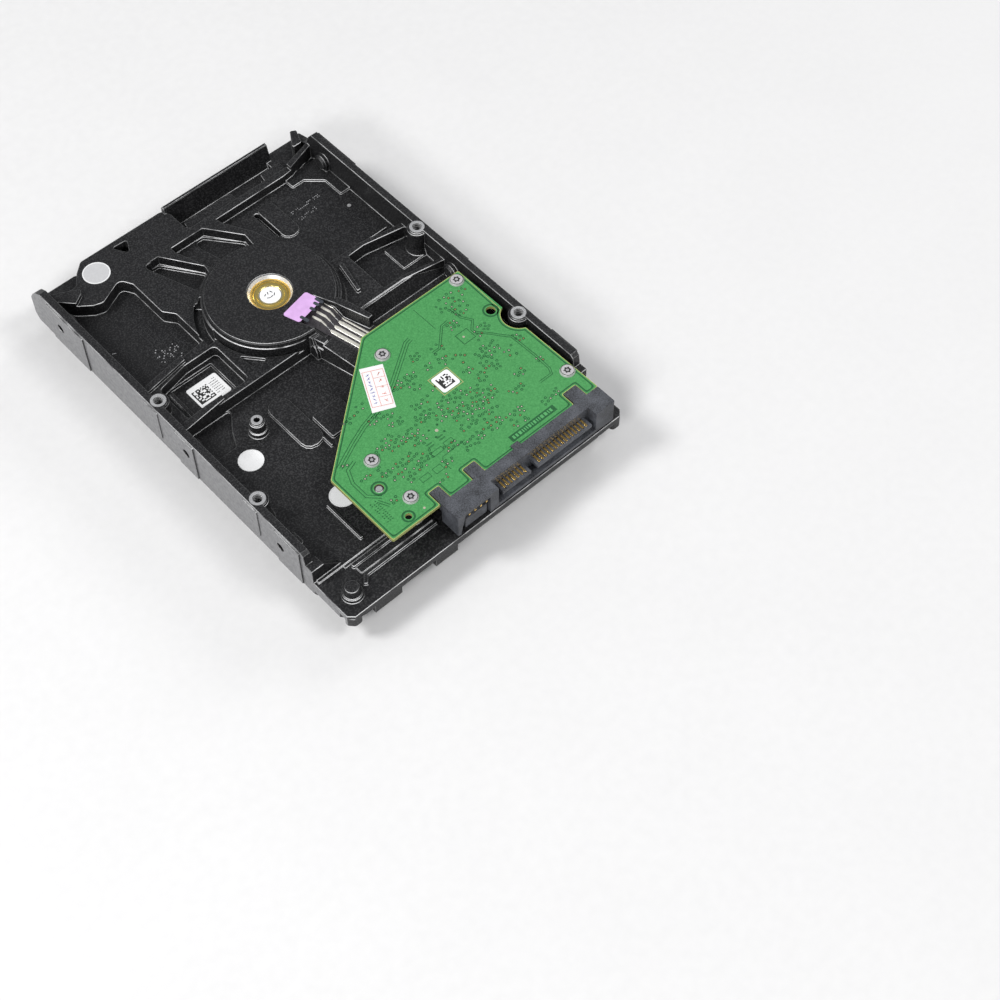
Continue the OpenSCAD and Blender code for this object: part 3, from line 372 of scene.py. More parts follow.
def node_materials():
    """A material for each CAD node."""
    spindle = (0, SPINDLE_Y, 0)
    silver, steel = (0.72, 0.72, 0.73), (0.56, 0.57, 0.59)
    paper = surface("paper", (0.87, 0.87, 0.87), 0.62, vary=0.05, grain=0.3, relief=0.004)
    screw = surface("screw", (0.7, 0.68, 0.69), 0.36, 0.5, grain=0.25, relief=0.02, edge=0.12)
    bright = surface("ground_steel", steel, 0.24, 1.0, grain=0.3, stretch=(1, 1, 6))
    dark_plastic = surface("dark_plastic", (0.022, 0.022, 0.025), 0.5, grain=0.3, edge=0.12)
    core = surface("core_steel", (0.2, 0.21, 0.23), 0.42, 1.0, grain=0.5, stretch=(1, 1, 9))
    felt = fibre_material("filter_fibre", (0.82, 0.82, 0.8))
    film = surface(
        "polyimide", (0.5, 0.25, 0.05), 0.28, vary=0.15, grain=0.8, Coat_Weight=0.4
    )
    ivory = surface("ivory_plastic", (0.74, 0.71, 0.62), 0.42, grain=0.4, edge=0.1)
    gold = surface("gold_plate", (0.78, 0.52, 0.16), 0.22, 1.0, grain=0.2, edge=0.06)
    rubber = surface("rubber", (0.02, 0.02, 0.02), 0.75, grain=0.25, relief=0.03)
    return {
        "base_casting": casting_material(),
        "cover_gasket": rubber,
        "top_cover": surface(
            "cover_steel", (0.55, 0.56, 0.57), 0.33, 1.0, grain=0.35, stretch=(9, 1, 1), edge=0.2
        ),
        "cover_screws": screw,
        "cover_label": paper,
        "breather_filter": felt,
        "servo_access_seal": surface(
            "foil_seal", (0.66, 0.66, 0.665), 0.4, 0.25, vary=0.05, grain=0.4, edge=0.1
        ),
        "screw_seals": paper,
        "casting_label": paper,
        "circuit_board": board_material(),
        "board_screws": screw,
        "controller_chip": dark_plastic,
        "memory_chip": dark_plastic,
        "motor_driver_chip": dark_plastic,
        "board_components": surface("ceramic", (0.36, 0.3, 0.24), 0.45, grain=0.3),
        "thermal_pad": surface("silicone", (0.62, 0.42, 0.46), 0.7, grain=0.4),
        "board_label": paper,
        "paper_sticker": surface(
            "sticker_paper", (0.84, 0.83, 0.83), 0.6, vary=0.04, grain=0.3, relief=0.006
        ),
        "sata_housing": surface(
            "housing", (0.063, 0.067, 0.077), 0.55, vary=0.75, grain=0.34, relief=0.04, edge=0.16
        ),
        "sata_contacts": gold,
        "jumper_pins": gold,
        "motor_flex": surface(
            "flex_film", (0.05, 0.045, 0.05), 0.3, vary=0.3, grain=0.9, relief=0.02, Coat_Weight=0.5
        ),
        "flex_patch": surface(
            "lilac_film", (0.68, 0.42, 0.76), 0.42, vary=0.12, grain=2.5, relief=0.02, edge=0.08
        ),
        "motor_contact_block": dark_plastic,
        "bearing_sleeve": turned_material("brass", (1, 0.72, 0.25), 0.26, spindle, 1.1),
        "bearing_end_plate": turned_material("end_plate", silver, 0.26, spindle),
        "motor_label": paper,
        "stator_core": core,
        "stator_coils": wound_material("motor_wire", (0.6, 0.2, 0.06), 0.18),
        "motor_shaft": bright,
        "spindle_hub": turned_material("hub", silver, 0.28, spindle, 0.3),
        "rotor_magnet": surface("ferrite", (0.06, 0.06, 0.065), 0.55, grain=0.3),
        "disk": turned_material("disk_mirror", (0.8, 0.81, 0.83), 0.05, spindle, 0.1),
        "disk_clamp": turned_material("clamp", silver, 0.22, spindle, 0.25),
        "clamp_screws": screw,
        "pivot_shaft": bright,
        "pivot_sleeve": bright,
        "arm_block": surface(
            "arm_aluminium", silver, 0.36, 1.0, grain=0.5, stretch=(1, 6, 1), edge=0.1
        ),
        "suspensions": bright,
        "sliders": dark_plastic,
        "voice_coil": wound_material("voice_wire", (0.62, 0.22, 0.07), 0.12),
        "lower_yoke": core,
        "upper_yoke": core,
        "yoke_magnets": surface("nickel", (0.5, 0.49, 0.46), 0.2, 1.0, grain=0.8, edge=0.1),
        "yoke_posts": bright,
        "crash_stops": rubber,
        "latch_pin": bright,
        "latch_lever": surface("lever_plastic", (0.42, 0.35, 0.16), 0.45, grain=0.4, edge=0.1),
        "load_ramp": ivory,
        "head_flex": film,
        "flex_bracket": dark_plastic,
        "head_connector": ivory,
        "recirculation_filter": felt,
        "desiccant_pack": felt,
    }


def dress_nodes():
    for name, material in node_materials().items():
        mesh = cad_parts[name].data
        mesh.materials.clear()
        mesh.materials.append(material)


# ---- mesh helpers ------------------------------------------------------------


class Build:
    """A mesh piece made of thin raised shapes, with plan points in millimetres."""

    def __init__(self, name, slot, materials, body="drive"):
        self.name, self.slot, self.materials, self.body = name, slot, materials, body
        self.bm = bmesh.new()

    def face(self, verts, material):
        self.bm.faces.new(verts).material_index = material

    def vert(self, x, y, z):
        return self.bm.verts.new((x * MM, y * MM, z * MM))

    def prism(self, loop, low, high, material=0):
        """A closed upright solid over a counter-clockwise loop."""
        base = [self.vert(x, y, low) for x, y in loop]
        top = [self.vert(x, y, high) for x, y in loop]
        self.face(list(reversed(base)), material)
        self.face(top, material)
        for i in range(len(loop)):
            j = (i + 1) % len(loop)
            self.face([base[i], base[j], top[j], top[i]], material)

    def band(self, outer, inner, low, high, material=0):
        """A closed ring between two loops of as many points, both counter-clockwise."""
        rows = [
            [self.vert(x, y, z) for x, y in loop]
            for loop, z in ((outer, low), (outer, high), (inner, high), (inner, low))
        ]
        count = len(outer)
        for i in range(count):
            j = (i + 1) % count
            for k in range(4):
                a, b = rows[k], rows[(k + 1) % 4]
                self.face([a[i], a[j], b[j], b[i]], material)

    def ring(self, at, outer, inner, low, high, material=0, sides=20):
        self.band(circle(at, outer, sides), circle(at, inner, sides), low, high, material)

    def box(self, at, size, turn, low, high, material=0):
        """A raised rectangle centred on at and turned by an angle in degrees."""
        self.prism(rectangle(at, size, turn), low, high, material)

    def line(self, points, width, low, high, material=0):
        """A raised line of one width along some points, with mitred corners."""
        left, right = offset_path(points, width / 2), offset_path(points, -width / 2)
        self.prism(right + left[::-1], low, high, material)

    def finish(self):
        bmesh.ops.recalc_face_normals(self.bm, faces=self.bm.faces)
        mesh = bpy.data.meshes.new(self.name)
        self.bm.to_mesh(mesh)
        self.bm.free()
        for material in self.materials:
            mesh.materials.append(material)
        piece = bpy.data.objects.new(self.name, mesh)
        bpy.context.scene.collection.objects.link(piece)
        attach(piece, self.body)
        return piece


def circle(at, radius, sides=20):
    return [
        (
            at[0] + radius * math.cos(2 * math.pi * i / sides),
            at[1] + radius * math.sin(2 * math.pi * i / sides),
        )
        for i in range(sides)
    ]


def turned(point, degrees, at=(0, 0)):
    """A point turned about the origin, then moved to at."""
    c, s = math.cos(math.radians(degrees)), math.sin(math.radians(degrees))
    return (at[0] + point[0] * c - point[1] * s, at[1] + point[0] * s + point[1] * c)


def rectangle(at, size, turn=0):
    w, h = size[0] / 2, size[1] / 2
    return [turned(p, turn, at) for p in ((-w, -h), (w, -h), (w, h), (-w, h))]


def offset_path(points, distance):
    """An open path moved sideways, to its left when distance is positive."""
    moved = []
    for i, point in enumerate(points):
        p = Vector(point)
        before = (p - Vector(points[i - 1])).normalized() if i else None
        after = (Vector(points[i + 1]) - p).normalized() if i + 1 < len(points) else None
        before, after = before or after, after or before
        normal = Vector((-before.y - after.y, before.x + after.x)).normalized()
        reach = distance / max(0.4, normal.dot(Vector((-before.y, before.x))))
        moved.append(tuple(p + normal * reach))
    return moved


def offset_loop(points, distance):
    """A closed counter-clockwise loop moved inwards."""
    count = len(points)
    moved = []
    for i in range(count):
        p = Vector(points[i])
        before = (p - Vector(points[i - 1])).normalized()
        after = (Vector(points[(i + 1) % count]) - p).normalized()
        normal = Vector((-before.y - after.y, before.x + after.x)).normalized()
        reach = distance / max(0.4, normal.dot(Vector((-before.y, before.x))))
        moved.append(tuple(p + normal * reach))
    return moved


def soften_loop(points, radius, steps=3):
    """A closed loop with its sharp corners cut to short curves."""
    count = len(points)
    out = []
    for i in range(count):
        p, a, b = Vector(points[i]), Vector(points[i - 1]), Vector(points[(i + 1) % count])
        reach = min(radius, 0.45 * (p - a).length, 0.45 * (b - p).length)
        start, end = p + (a - p).normalized() * reach, p + (b - p).normalized() * reach
        for k in range(steps + 1):
            t = k / steps
            out.append(tuple((1 - t) ** 2 * start + 2 * t * (1 - t) * p + t * t * end))
    return out


# ---- circuit board details ---------------------------------------------------

BOARD_TOP = high_mm("circuit_board").z
# Top of a printed line or pad, and the heights between which it lies.
SKIN = 0.025
ON_BOARD = (BOARD_TOP - 0.01, BOARD_TOP + SKIN)
BOARD_SCREWS = [(42.8, -10.9), (9, -17.3), (43.7, -56.8), (-16.8, -43.2), (-16.8, -59.4)]
BOARD_HOLES = [((-21.2, -51.4), 1.4), ((-21.2, -63.6), 1.0), ((42.6, -25.9), 1.5)]


def board_loop(inset):
    """The board's outline, moved inwards, with its notches and its round bay."""
    bay = [
        (47.7 + 5.3 * math.cos(math.radians(a)), -32.3 + 5.3 * math.sin(math.radians(a)))
        for a in range(249, 110, -10)
    ]
    corners = [(-29.2, -66.6)]
    for left, right, top in ((-12.5, -8.9, -61.6), (-0.6, 3.7, -62), (37, 41.9, -61.8)):
        corners += [(left, -66.6), (left, top), (right, top), (right, -66.6)]
    corners += [(46.3, -66.4)] + bay + [(45.6, -8.4), (8.7, -8.4), (-29.2, -40.6)]
    return soften_loop(offset_loop(corners, inset), 0.5 + 0.5 * inset)


def board_border(dark, rim):
    """Bare rim of the board, the dark line beside it, and the rings round its holes."""
    b = Build("board_border", "board_green", [dark, rim])
    b.band(board_loop(0.04), board_loop(0.2), *ON_BOARD, 1)
    b.band(board_loop(0.6), board_loop(0.98), *ON_BOARD, 0)
    for at, radius in BOARD_HOLES:
        b.ring(at, radius + 0.95, radius + 0.4, *ON_BOARD, 0, 32)
    b.finish()


def board_traces(dark):
    """Copper tracks, test squares and rows of pads under the mask."""
    b = Build("board_traces", "board_green", [dark])

    def bundle(points, count, pitch, width=0.2):
        for i in range(count):
            b.line(offset_path(points, (i - (count - 1) / 2) * pitch), width, *ON_BOARD)

    bundle([(18.6, -18.2), (16.8, -18.6), (5.2, -26.6), (0, -29.9), (-5, -31.3), (-11, -32.9),
            (-17, -35.4), (-24.9, -39.2)], 3, 0.75)
    bundle([(-20.4, -40.1), (-23.6, -41.2), (-25.4, -45.4), (-25.4, -51.1),
            (-22.4, -54.1)], 2, 0.85)
    bundle([(-24.2, -54.4), (-22.6, -57.6)], 2, 0.7)
    bundle([(20, -26.4), (22.6, -26.4), (28.4, -20.7), (30.8, -20.5)], 2, 0.6)
    bundle([(34.5, -17.6), (34.5, -21.9), (36.4, -25), (33.9, -27.5), (33.9, -28.8), (36.6, -31.8),
            (38.6, -34.6), (40.6, -37), (40.9, -46.5), (40.7, -52.6), (39.8, -54.4),
            (35.5, -54.4)], 2, 0.6)
    bundle([(26.3, -10.6), (26.4, -20.2)], 1, 0.5, 0.16)
    bundle([(6.6, -55), (-1.6, -55.2), (-2.6, -56.4), (-2.6, -59.8)], 1, 0.5, 0.16)
    square = [(28.9, -30), (32.9, -30), (32.9, -26.2), (28.9, -26.2)]
    b.band(offset_loop(square, -0.2), square, *ON_BOARD)
    for x, y, w, h in ((-1.6, -52.9, 3.6, 1.3), (2.9, -52.5, 2.8, 1.3), (-9.6, -57.2, 3, 1.5),
                       (-5.2, -57.4, 2.6, 1.8)):
        frame_loop = rectangle((x, y), (w, h))
        b.band(offset_loop(frame_loop, -0.16), frame_loop, *ON_BOARD)
    for row in range(2):
        for k in range(12):
            x = -2.5 + 0.34 * k + (1.9 if k > 5 else 0)
            b.box((x, -49.5 - row), (0.2, 0.5), 0, *ON_BOARD)
    b.finish()


VIA_CLUSTERS = [
    # centre, half widths and number of vias
    (40, -14, 3, 3, 10), (34.5, -15, 3, 2, 9), (36.5, -19, 3, 2.4, 14), (31, -22.6, 1.5, 1.3, 15),
    (15.5, -24, 1.7, 1.3, 16), (22, -26, 2, 1.4, 5), (5, -28.4, 2, 1.2, 13),
    (9.4, -28.6, 2.2, 1.4, 11), (-8, -27, 2, 1, 4), (-12.6, -28.6, 2.6, 1, 5),
    (16, -29, 1.2, 1, 4), (21, -30.6, 2, 1.6, 7), (36, -29.6, 3.4, 2.2, 12),
    (-7, -33.2, 2.4, 1.2, 11), (8.4, -32.4, 1.6, 1.4, 6), (-3, -34.6, 1.4, 0.9, 5),
    (32, -36, 3.6, 2, 20), (29.4, -39.2, 2.6, 1.6, 14), (23.4, -37.8, 1.6, 1, 5),
    (-3.2, -38, 2.4, 0.9, 8), (6, -37.4, 3, 1.2, 12), (41.6, -38.4, 1.2, 1.6, 6),
    (-9, -40.6, 1.7, 1, 7), (-12.6, -42, 1.6, 1.2, 9), (-8, -43.2, 3, 1.4, 14),
    (-2.8, -43.6, 2.8, 1.6, 15), (4, -41.6, 2.8, 1.6, 20), (10.6, -41.6, 2, 1.6, 12),
    (15, -42, 2.2, 1.6, 10), (19.4, -44.6, 2.6, 2, 17), (8, -44.8, 2.8, 1.6, 16),
    (12, -47, 3, 2, 18), (16.4, -48.6, 2.6, 2, 13), (21, -48, 2.2, 2.2, 15), (24.2, -47, 1, 2, 8),
    (30.6, -42.4, 1, 1, 4), (33.4, -48.2, 1.6, 1, 8), (29, -52, 2.4, 1.2, 9),
    (-15.4, -49, 2.8, 0.9, 12), (-9, -49.2, 3, 1.2, 14), (-13.8, -52.2, 2.8, 0.9, 9),
    (-5.2, -52, 2.6, 1.4, 13), (-9.4, -53.4, 3, 1, 10), (3, -54, 2.8, 1.2, 11),
    (-12.6, -55.2, 1.4, 1, 6), (-1.6, -57.4, 1.8, 1.2, 6), (6.8, -57, 2.4, 1.4, 9),
    (12.4, -56.4, 3, 1.6, 12), (17, -56.6, 2.4, 1.6, 9), (23, -58, 3, 1.4, 10),
    (34, -60, 3.4, 1.2, 12), (22, -60.8, 2.6, 0.8, 7), (-6, -60.6, 1.8, 0.6, 5),
    (-20.6, -57, 1.2, 0.8, 5), (-21.4, -46.2, 1.8, 0.5, 5), (41, -48.2, 0.8, 1.2, 5),
    (26, -33, 2, 2, 4), (-2, -47, 3, 1.4, 8), (37, -41, 2, 2, 5), (-22.6, -39.6, 1.2, 0.4, 2),
    (10.8, -51.6, 3, 1.4, 10), (18, -52.6, 3, 1.2, 9), (24.6, -42, 2, 1.6, 7), (13, -36, 2, 1, 3),
    (-17.4, -46.6, 1, 0.5, 3),
]
# Smallest distance between the centres of two vias, and how often a crowded one is moved.
VIA_GAP = 1.0
VIA_TRIES = 12


def board_vias(dark, tan, cream):
    """Vias in clusters: dark rings, some of them with metal in the middle."""
    rng = random.Random(20)
    b = Build("board_vias", "board_green", [dark, tan, cream])
    placed = []
    for x, y, w, h, count in VIA_CLUSTERS:
        for _ in range(count):
            for _ in range(VIA_TRIES):
                at = (x + w * rng.uniform(-1, 1), y + h * rng.uniform(-1, 1))
                if all(math.dist(at, p) > VIA_GAP for p in placed):
                    break
            else:
                continue
            placed.append(at)
            size = rng.uniform(0.4, 0.5)
            b.ring(at, size, size * 0.5, *ON_BOARD, 0, 10)
            kind = rng.choices((0, 1, 2), (58, 17, 25))[0]
            if kind:
                b.prism(circle(at, size * 0.5, 8), *ON_BOARD, kind)
    for at in ((1.4, -46), (4.4, -46), (1.4, -49), (4.4, -49)):
        b.prism(circle(at, 0.36, 12), *ON_BOARD, 0)
    b.prism(circle((3, -47.4), 0.5, 16), *ON_BOARD, 2)
    for at in ((-16.3, -64.4), (30.4, -27.9)):
        b.prism(circle(at, 0.36, 12), *ON_BOARD, 2)
    b.finish()


def board_marks(dark, pale):
    """Generic printed marks: a row of dashes on a dark block, and rows of small dashes."""
    rng = random.Random(7)
    b = Build("board_marks", "board_green", [dark, pale])
    base = BOARD_TOP + SKIN
    block_y = -63.5
    b.box((24.2, block_y), (16.6, 2.2), 0, *ON_BOARD)
    x = 16.8
    while x < 31.6:
        width = rng.choice((0.35, 0.7, 0.7, 0.9))
        b.box((x + width / 2, block_y), (width, 1.1), 0, base - 0.01, base + 0.02, 1)
        x += width + 0.42
    for column in range(3):
        for row in range(11):
            if rng.random() < 0.8:
                at = (-26.4 + 0.85 * column, -54 - 0.72 * row)
                b.box(at, (0.42, 0.3), 0, *ON_BOARD)
    b.finish()


def code_print(name, node, at, cells, pitch, ink, seed, extra=()):
    """A square block of dots, as a generic machine-readable mark has, with some bars."""
    rng = random.Random(seed)
    top = high_mm(node).z
    z = (top - INK_LOW, top + INK_HIGH)
    b = Build(name, "label_white", [ink])
    for i in range(cells):
        for j in range(cells):
            edge = i == 0 or j == 0
            if edge or rng.random() < 0.5:
                b.box((at[0] + i * pitch, at[1] + j * pitch), (pitch * 0.98, pitch * 0.98), 0, *z)
    for x, y, w, h in extra:
        b.box((x, y), (w, h), 0, *z)
    b.finish()


def casting_label_text():
    """Places and sizes of short dashes that stand in for the lines of a label."""
    rng = random.Random(23)
    return [
        (-30 + 0.55 * k, 14.9 - 0.85 * row, 0.32 if rng.random() < 0.7 else 0.5, 0.22)
        for row in range(7)
        for k in range(5)
        if rng.random() < 0.85
    ]


def sticker_print(red, blue):
    """Lines and short strokes on the slanted sticker."""
    rng = random.Random(3)
    top = high_mm("paper_sticker").z
    z = (top - INK_LOW, top + INK_HIGH)
    origin, turn = (0.4, -25.3), 63.5
    b = Build("sticker_print", "label_white", [red, blue])

    def stroke(u, v, w, h, material, tilt=0):
        b.box(turned((u, v), turn, origin), (w, h), turn + tilt, *z, material)

    border = ((0, 3, 12.6, 0.14), (0, -3, 12.6, 0.14), (6.3, 0, 0.14, 6), (-6.3, 0, 0.14, 6))
    table = ((0, 0.4, 12.6, 0.12), (-3.2, -1.3, 0.12, 3.3), (0.4, -1.3, 0.12, 3.3),
             (3.6, -1.3, 0.12, 3.3))
    for u, v, w, h in border + table:
        stroke(u, v, w, h, 0)
    for i in range(9):
        stroke(-5 + 1.25 * i, 1.7, 0.16, rng.uniform(0.8, 1.5), 1, rng.uniform(-50, 50))
        stroke(-5 + 1.25 * i, 1.6, 0.14, rng.uniform(0.5, 1.0), 1, rng.uniform(20, 110))
    for i in range(5):
        stroke(-4.8 + 2.4 * i, -1.4, 0.2, rng.uniform(0.8, 1.3), 0, rng.uniform(-60, 60))
        stroke(-4.6 + 2.4 * i, -1.6, 0.16, rng.uniform(0.6, 1.0), 0, rng.uniform(30, 120))
    b.finish()


def label_outline(tan):
    """Printed square round the board label."""
    b = Build("label_outline", "board_green", [tan])
    low, high = low_mm("board_label"), high_mm("board_label")
    loop = [(low.x - 0.5, low.y - 0.5), (high.x + 0.5, low.y - 0.5), (high.x + 0.5, high.y + 0.5),
            (low.x - 0.5, high.y + 0.5)]
    b.band(loop, offset_loop(loop, 0.2), *ON_BOARD)
    b.finish()


# ---- motor details -----------------------------------------------------------

# Where the flexible circuit starts in plan, and its direction in degrees.
FLEX_AT, FLEX_TURN = (2.3, 14.1), 13.5


def flex_top(v):
    """Height of the flexible circuit's upper face at a distance v along it."""
    top, low = high_mm("motor_flex").z, low_mm("motor_flex").z + 0.12
    middle = top - 1.8
    steps = ((-2.5, top), (-4.5, middle), (-9.4, middle), (-12.5, low), (-40, low))
    if v >= steps[0][0]:
        return top
    for (v0, z0), (v1, z1) in zip(steps, steps[1:]):
        if v >= v1:
            return z0 + (z1 - z0) * (v - v0) / (v1 - v0)


def flex_traces(silver, cream):
    """Bare conductors with solder along the flexible circuit, narrow where it bends."""
    b = Build("flex_traces", "contact_gold", [silver, cream])
    lanes = (
        # side of the patch, side of the board, half width of each, and of the bend
        (4.5, 4.75, 0.42, 0.66, 0.3), (2.35, 2.7, 0.42, 0.66, 0.3),
        (0.3, 0.75, 0.42, 0.66, 0.3), (6.0, 6.25, 0.14, 0.3, 0.14),
    )
    for near, far, half_near, half_far, half_bend in lanes:
        path = [(-6.3, near, half_near), (-7.4, near, half_near * 1.1), (-9.4, near, half_near),
                (-11, 0.4 * near + 0.6 * far, half_bend), (-12.3, far, half_bend * 1.2),
                (-13.2, far, half_far), (-26.5, far, half_far)]
        rows = []
        for v, u, half in path:
            z = flex_top(v)
            rows.append([b.vert(*turned((u + d, v), FLEX_TURN, FLEX_AT), z + h)
                         for d, h in ((-half, -0.01), (-half * 0.7, 0.14), (0, 0.2),
                                      (half * 0.7, 0.14), (half, -0.01))])
        for k in range(len(rows) - 1):
            for i in range(5):
                j = (i + 1) % 5
                b.face([rows[k][i], rows[k][j], rows[k + 1][j], rows[k + 1][i]], 0 if k == 3 else 1)
        b.face(rows[0], 0)
        b.face(rows[-1][::-1], 0)
    for v in (-10.6, -12.2, -20.5, -21.7, -23):
        for u in (1.72, 3.72, 5.6, -0.2):
            z = flex_top(v - 0.2)
            b.ring(turned((u, v), FLEX_TURN, FLEX_AT), 0.3, 0.14, z - 0.02, z + 0.07, 0, 10)
    b.finish()


def flex_fingers(film):
    """Dark tongues of the cover film that reach over the patch."""
    b = Build("flex_fingers", "flex_amber", [film])
    top = high_mm("flex_patch").z
    for u, v, reach in ((4.9, -4.4, 2.4), (3.4, -5, 1.4), (1.3, -5.3, 1.3), (-2.9, -5, 2.6)):
        tongue = ((-0.55, -reach), (0.55, -reach), (0.5, 0.5), (-0.5, 0.5))
        loop = [turned((u + a, v + c), FLEX_TURN, FLEX_AT) for a, c in tongue]
        b.prism(soften_loop(loop, 0.5), top - 0.14, top + 0.05)
    b.finish()


def label_ticks(ink):
    """Generic strokes on the small round motor label."""
    rng = random.Random(5)
    top = high_mm("motor_label").z
    b = Build("motor_label_print", "label_white", [ink])
    strokes = ((-1.2, 0.9), (-0.2, 1), (0.9, 0.8), (-1, -0.6), (0.1, -0.7), (1.1, -0.5))
    for i, (x, y) in enumerate(strokes):
        at = (x, SPINDLE_Y + y)
        b.box(at, (0.26, rng.uniform(0.6, 1.1)), 40 * i - 60, top - INK_LOW, top + INK_HIGH)
    b.finish()


# ---- casting details ---------------------------------------------------------


def machined_tops(metal):
    """Bare faces of the tapped bosses, and the threads in their mouths."""
    b = Build("machined_tops", "steel_bright", [metal])
    top = high_mm("base_casting").z
    for x in (-47.625, 47.625):
        for y in (-32.22, 12.23):
            b.ring((x, y), 2.28, 1.44, top - 0.02, top + 0.01, 0, 32)
            for turn in range(6):
                b.ring((x, y), 1.44, 1.24, top - 0.75 - 0.8 * turn, top - 0.4 - 0.8 * turn, 0, 24)
    b.ring((-30, -8.8), 1.66, 0.92, 15.98, 16.02, 0, 24)
    b.prism(circle((-21.2, -51.4), 0.9, 24), BOARD_TOP - 0.22, BOARD_TOP - 0.17)
    b.finish()


def cast_marks(coat, bare):
    """Raised marks of the casting: a field of dots, two rows of dots, and thin lines."""
    rng = random.Random(17)
    b = Build("cast_marks", "casting_black", [coat, bare])
    left, right = 9.6, 10.7

    def dots(corner, along, across, columns, rows, chance, z, material, size=0.2):
        for i in range(columns):
            for j in range(rows):
                if rng.random() < chance:
                    at = tuple(corner[k] + along[k] * i + across[k] * j for k in (0, 1))
                    r = size * rng.uniform(0.7, 1.2)
                    b.prism(circle(at, r, 8), z - 0.02, z + 0.16, material)

    dots((-35, 25.4), (0.62, 0), (0, 0.66), 12, 15, 0.26, left, 1)
    dots((28.4, 48.2), (0.62, 0.02), (0, 0.75), 19, 2, 0.7, right, 1, 0.17)
    dots((28.4, 44.6), (0.66, 0.05), (0, 0.8), 11, 2, 0.5, right, 1, 0.14)
    dots((41.4, 39.4), (0, -0.72), (0.8, 0), 17, 2, 0.6, right, 0, 0.2)
    for x, high in ((-33.4, 44.8), (-31.8, 45), (-30.4, 44.7)):
        b.line([(x, 37.2), (x, high)], 0.14, left - 0.02, left + 0.09, 0)
    b.line([(-36.2, 35.9), (-26.6, 36.6), (-26.1, 30.1)], 0.14, left - 0.02, left + 0.07, 0)
    b.prism(circle((43.3, 39.4), 0.62, 20), right - 0.02, right + 0.1, 1)
    b.prism(circle((39.9, 44), 0.5, 16), right - 0.02, right + 0.08, 0)
    b.ring((33.3, 35.8), 1.15, 0.75, right - 0.02, right + 0.12, 0, 28)
    b.line([(-44, 42), (-42.9, 41.5)], 0.2, left - 0.02, left + 0.2, 1)
    b.finish()


def seal_rims(foil):
    """Pressed rims of the round seals."""
    b = Build("seal_rims", "seal_grey", [foil])
    for at, radius, top in (((-30.9, 66.7), 4.2, 14.12), ((-37.9, -15.4), 3.7, 10.82),
                            ((-26.6, -41.6), 3.8, 10.82)):
        b.ring(at, radius - 0.02, radius - 0.34, top - 0.02, top + 0.05, 0, 48)
    b.finish()


def screw_sockets(dark, bright):
    """Star sockets of the board screws: a black star painted where the socket's recess lies in
    shade, a metal disc at its bottom, and a dark ring near each head's rim.
    """
    b = Build("screw_sockets", "screw_steel", [dark, bright])
    top = high_mm("board_screws").z
    for at in BOARD_SCREWS:
        star = [
            (at[0] + (1.2 if i % 2 else 0.82) * math.cos(math.pi * i / 6),
             at[1] + (1.2 if i % 2 else 0.82) * math.sin(math.pi * i / 6))
            for i in range(12)
        ]
        # Painted shade: a black star sits over each socket's recess, where shade falls.
        b.band(star, circle(at, 0.5, 12), top - 0.3, top + 0.015)
        b.prism(circle(at, 0.46, 12), top - 0.3, top - 0.02, 1)
        b.ring(at, 2.0, 1.82, top - 0.1, top + 0.012, 0, 32)
    b.finish()


def cover_print(ink):
    """Generic bars and blocks on the cover label, seen from below."""
    rng = random.Random(13)
    low = low_mm("cover_label").z
    z = (low - INK_HIGH, low + INK_LOW)
    b = Build("cover_label_print", "label_white", [ink])
    x = -24.0
    while x < 2:
        width = rng.choice((0.3, 0.5, 0.9))
        b.box((x + width / 2, -40), (width, 8), 0, *z)
        x += width + rng.choice((0.3, 0.5, 0.8))
    for row in range(14):
        length = rng.uniform(12, 44)
        b.box((-24 + length / 2, -30 + 3.2 * row), (length, 0.9 if row % 4 else 1.8), 0, *z)
    for i in range(16):
        for j in range(16):
            if rng.random() < 0.5:
                b.box((10 + 0.8 * i, -45 + 0.8 * j), (0.8, 0.8), 0, *z)
    b.band(rectangle((0, -6), (55, 87)), rectangle((0, -6), (54.2, 86.2)), *z)
    b.finish()


# ---- all together ------------------------------------------------------------


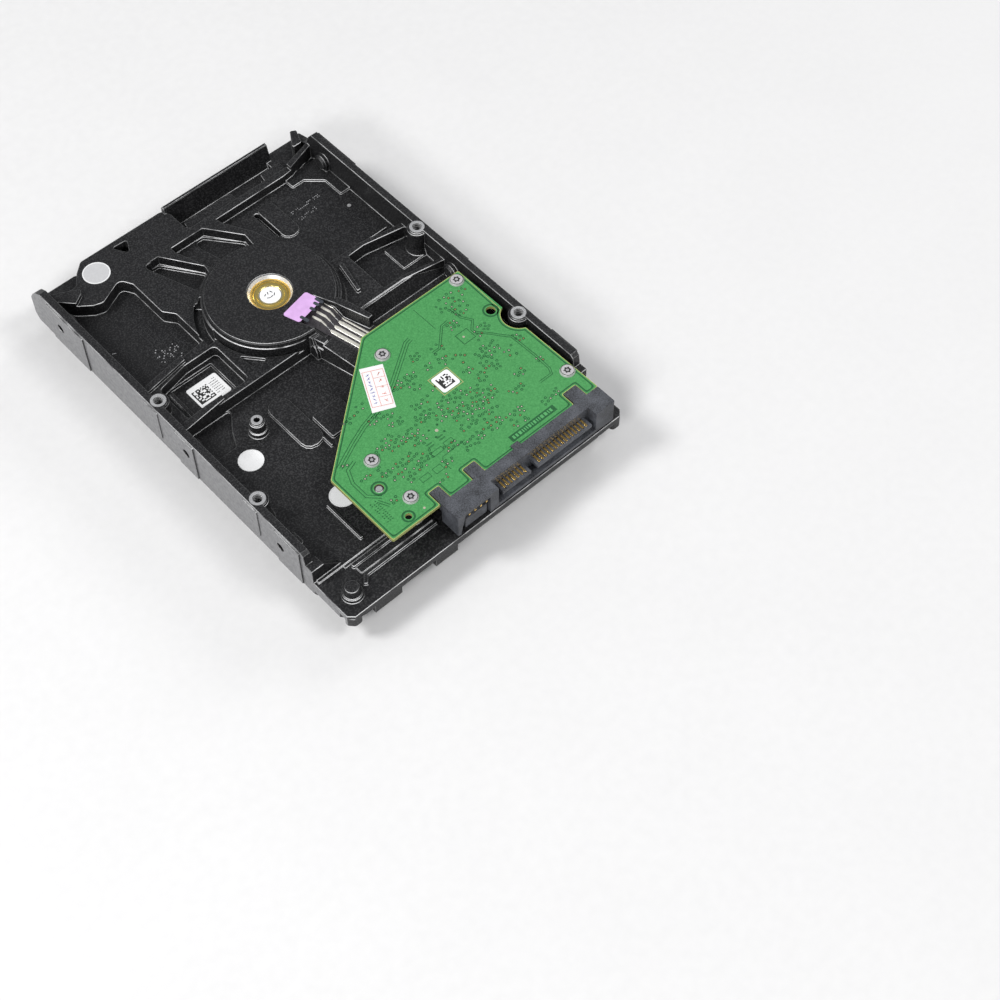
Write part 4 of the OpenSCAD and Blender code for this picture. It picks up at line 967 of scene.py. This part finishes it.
def make_floor():
    bm = bmesh.new()
    bmesh.ops.create_grid(bm, x_segments=8, y_segments=8, size=3)
    mesh = bpy.data.meshes.new("floor")
    bm.to_mesh(mesh)
    bm.free()
    mesh.materials.append(
        surface("floor", (0.785, 0.78, 0.775), 0.6, vary=0.015, grain=3, relief=0.01)
    )
    floor = bpy.data.objects.new("floor", mesh)
    bpy.context.scene.collection.objects.link(floor)
    floor.location.z = -0.0002


def make_pieces():
    dark = surface("mask_gap", (0.012, 0.105, 0.03), 0.45, vary=0.2, grain=0.4)
    rim = surface("bare_rim", (0.46, 0.47, 0.15), 0.5, vary=0.15, grain=0.5)
    tan = surface("via_tan", (0.42, 0.27, 0.12), 0.35, 0.4, grain=0.2)
    cream = surface("solder", (0.72, 0.66, 0.52), 0.3, 0.5, grain=0.2)
    ink = surface("black_ink_and_socket_shade", (0.02, 0.02, 0.02), 0.5, grain=0.2)
    red = surface("red_ink", (0.72, 0.2, 0.14), 0.6, grain=0.3)
    blue = surface("blue_ink", (0.12, 0.12, 0.42), 0.6, grain=0.3)
    silver = surface("tinned", (0.75, 0.75, 0.74), 0.22, 1.0, grain=0.6, relief=0.05)
    milky = surface("milky_solder", (0.8, 0.78, 0.7), 0.3, 0.3, grain=0.8, relief=0.04)
    board_border(dark, rim)
    board_traces(dark)
    board_vias(dark, tan, cream)
    board_marks(dark, surface("mask_print", (0.09, 0.36, 0.12), 0.45, grain=0.4))
    label_outline(surface("tan_print", (0.42, 0.38, 0.16), 0.5, grain=0.4))
    code_print("board_label_print", "board_label", (14.2, -38.1), 9, 0.46, ink, 4)
    code_print("casting_label_print", "casting_label", (-35.9, 9.5), 12, 0.44, ink, 9,
               extra=casting_label_text())
    sticker_print(red, blue)
    flex_traces(silver, milky)
    cover_film = surface(
        "cover_film", (0.055, 0.062, 0.075), 0.3, vary=0.3, grain=0.6, relief=0.02
    )
    flex_fingers(cover_film)
    label_ticks(ink)
    machined = surface("machined", (0.85, 0.85, 0.85), 0.3, 0.8, grain=0.3)
    machined_tops(machined)
    # The black ink also paints the shade in the screw sockets.
    screw_sockets(ink, machined)
    cast_marks(surface("raised_coat", (0.03, 0.03, 0.032), 0.3, grain=0.3, edge=0.05), machined)
    seal_rims(surface("seal_rim", (0.86, 0.86, 0.86), 0.35, grain=0.3))
    cover_print(ink)


make_camera()
make_lights()
make_floor()
dress_nodes()
make_pieces()
bpy.context.scene.view_settings.view_transform = "Standard"
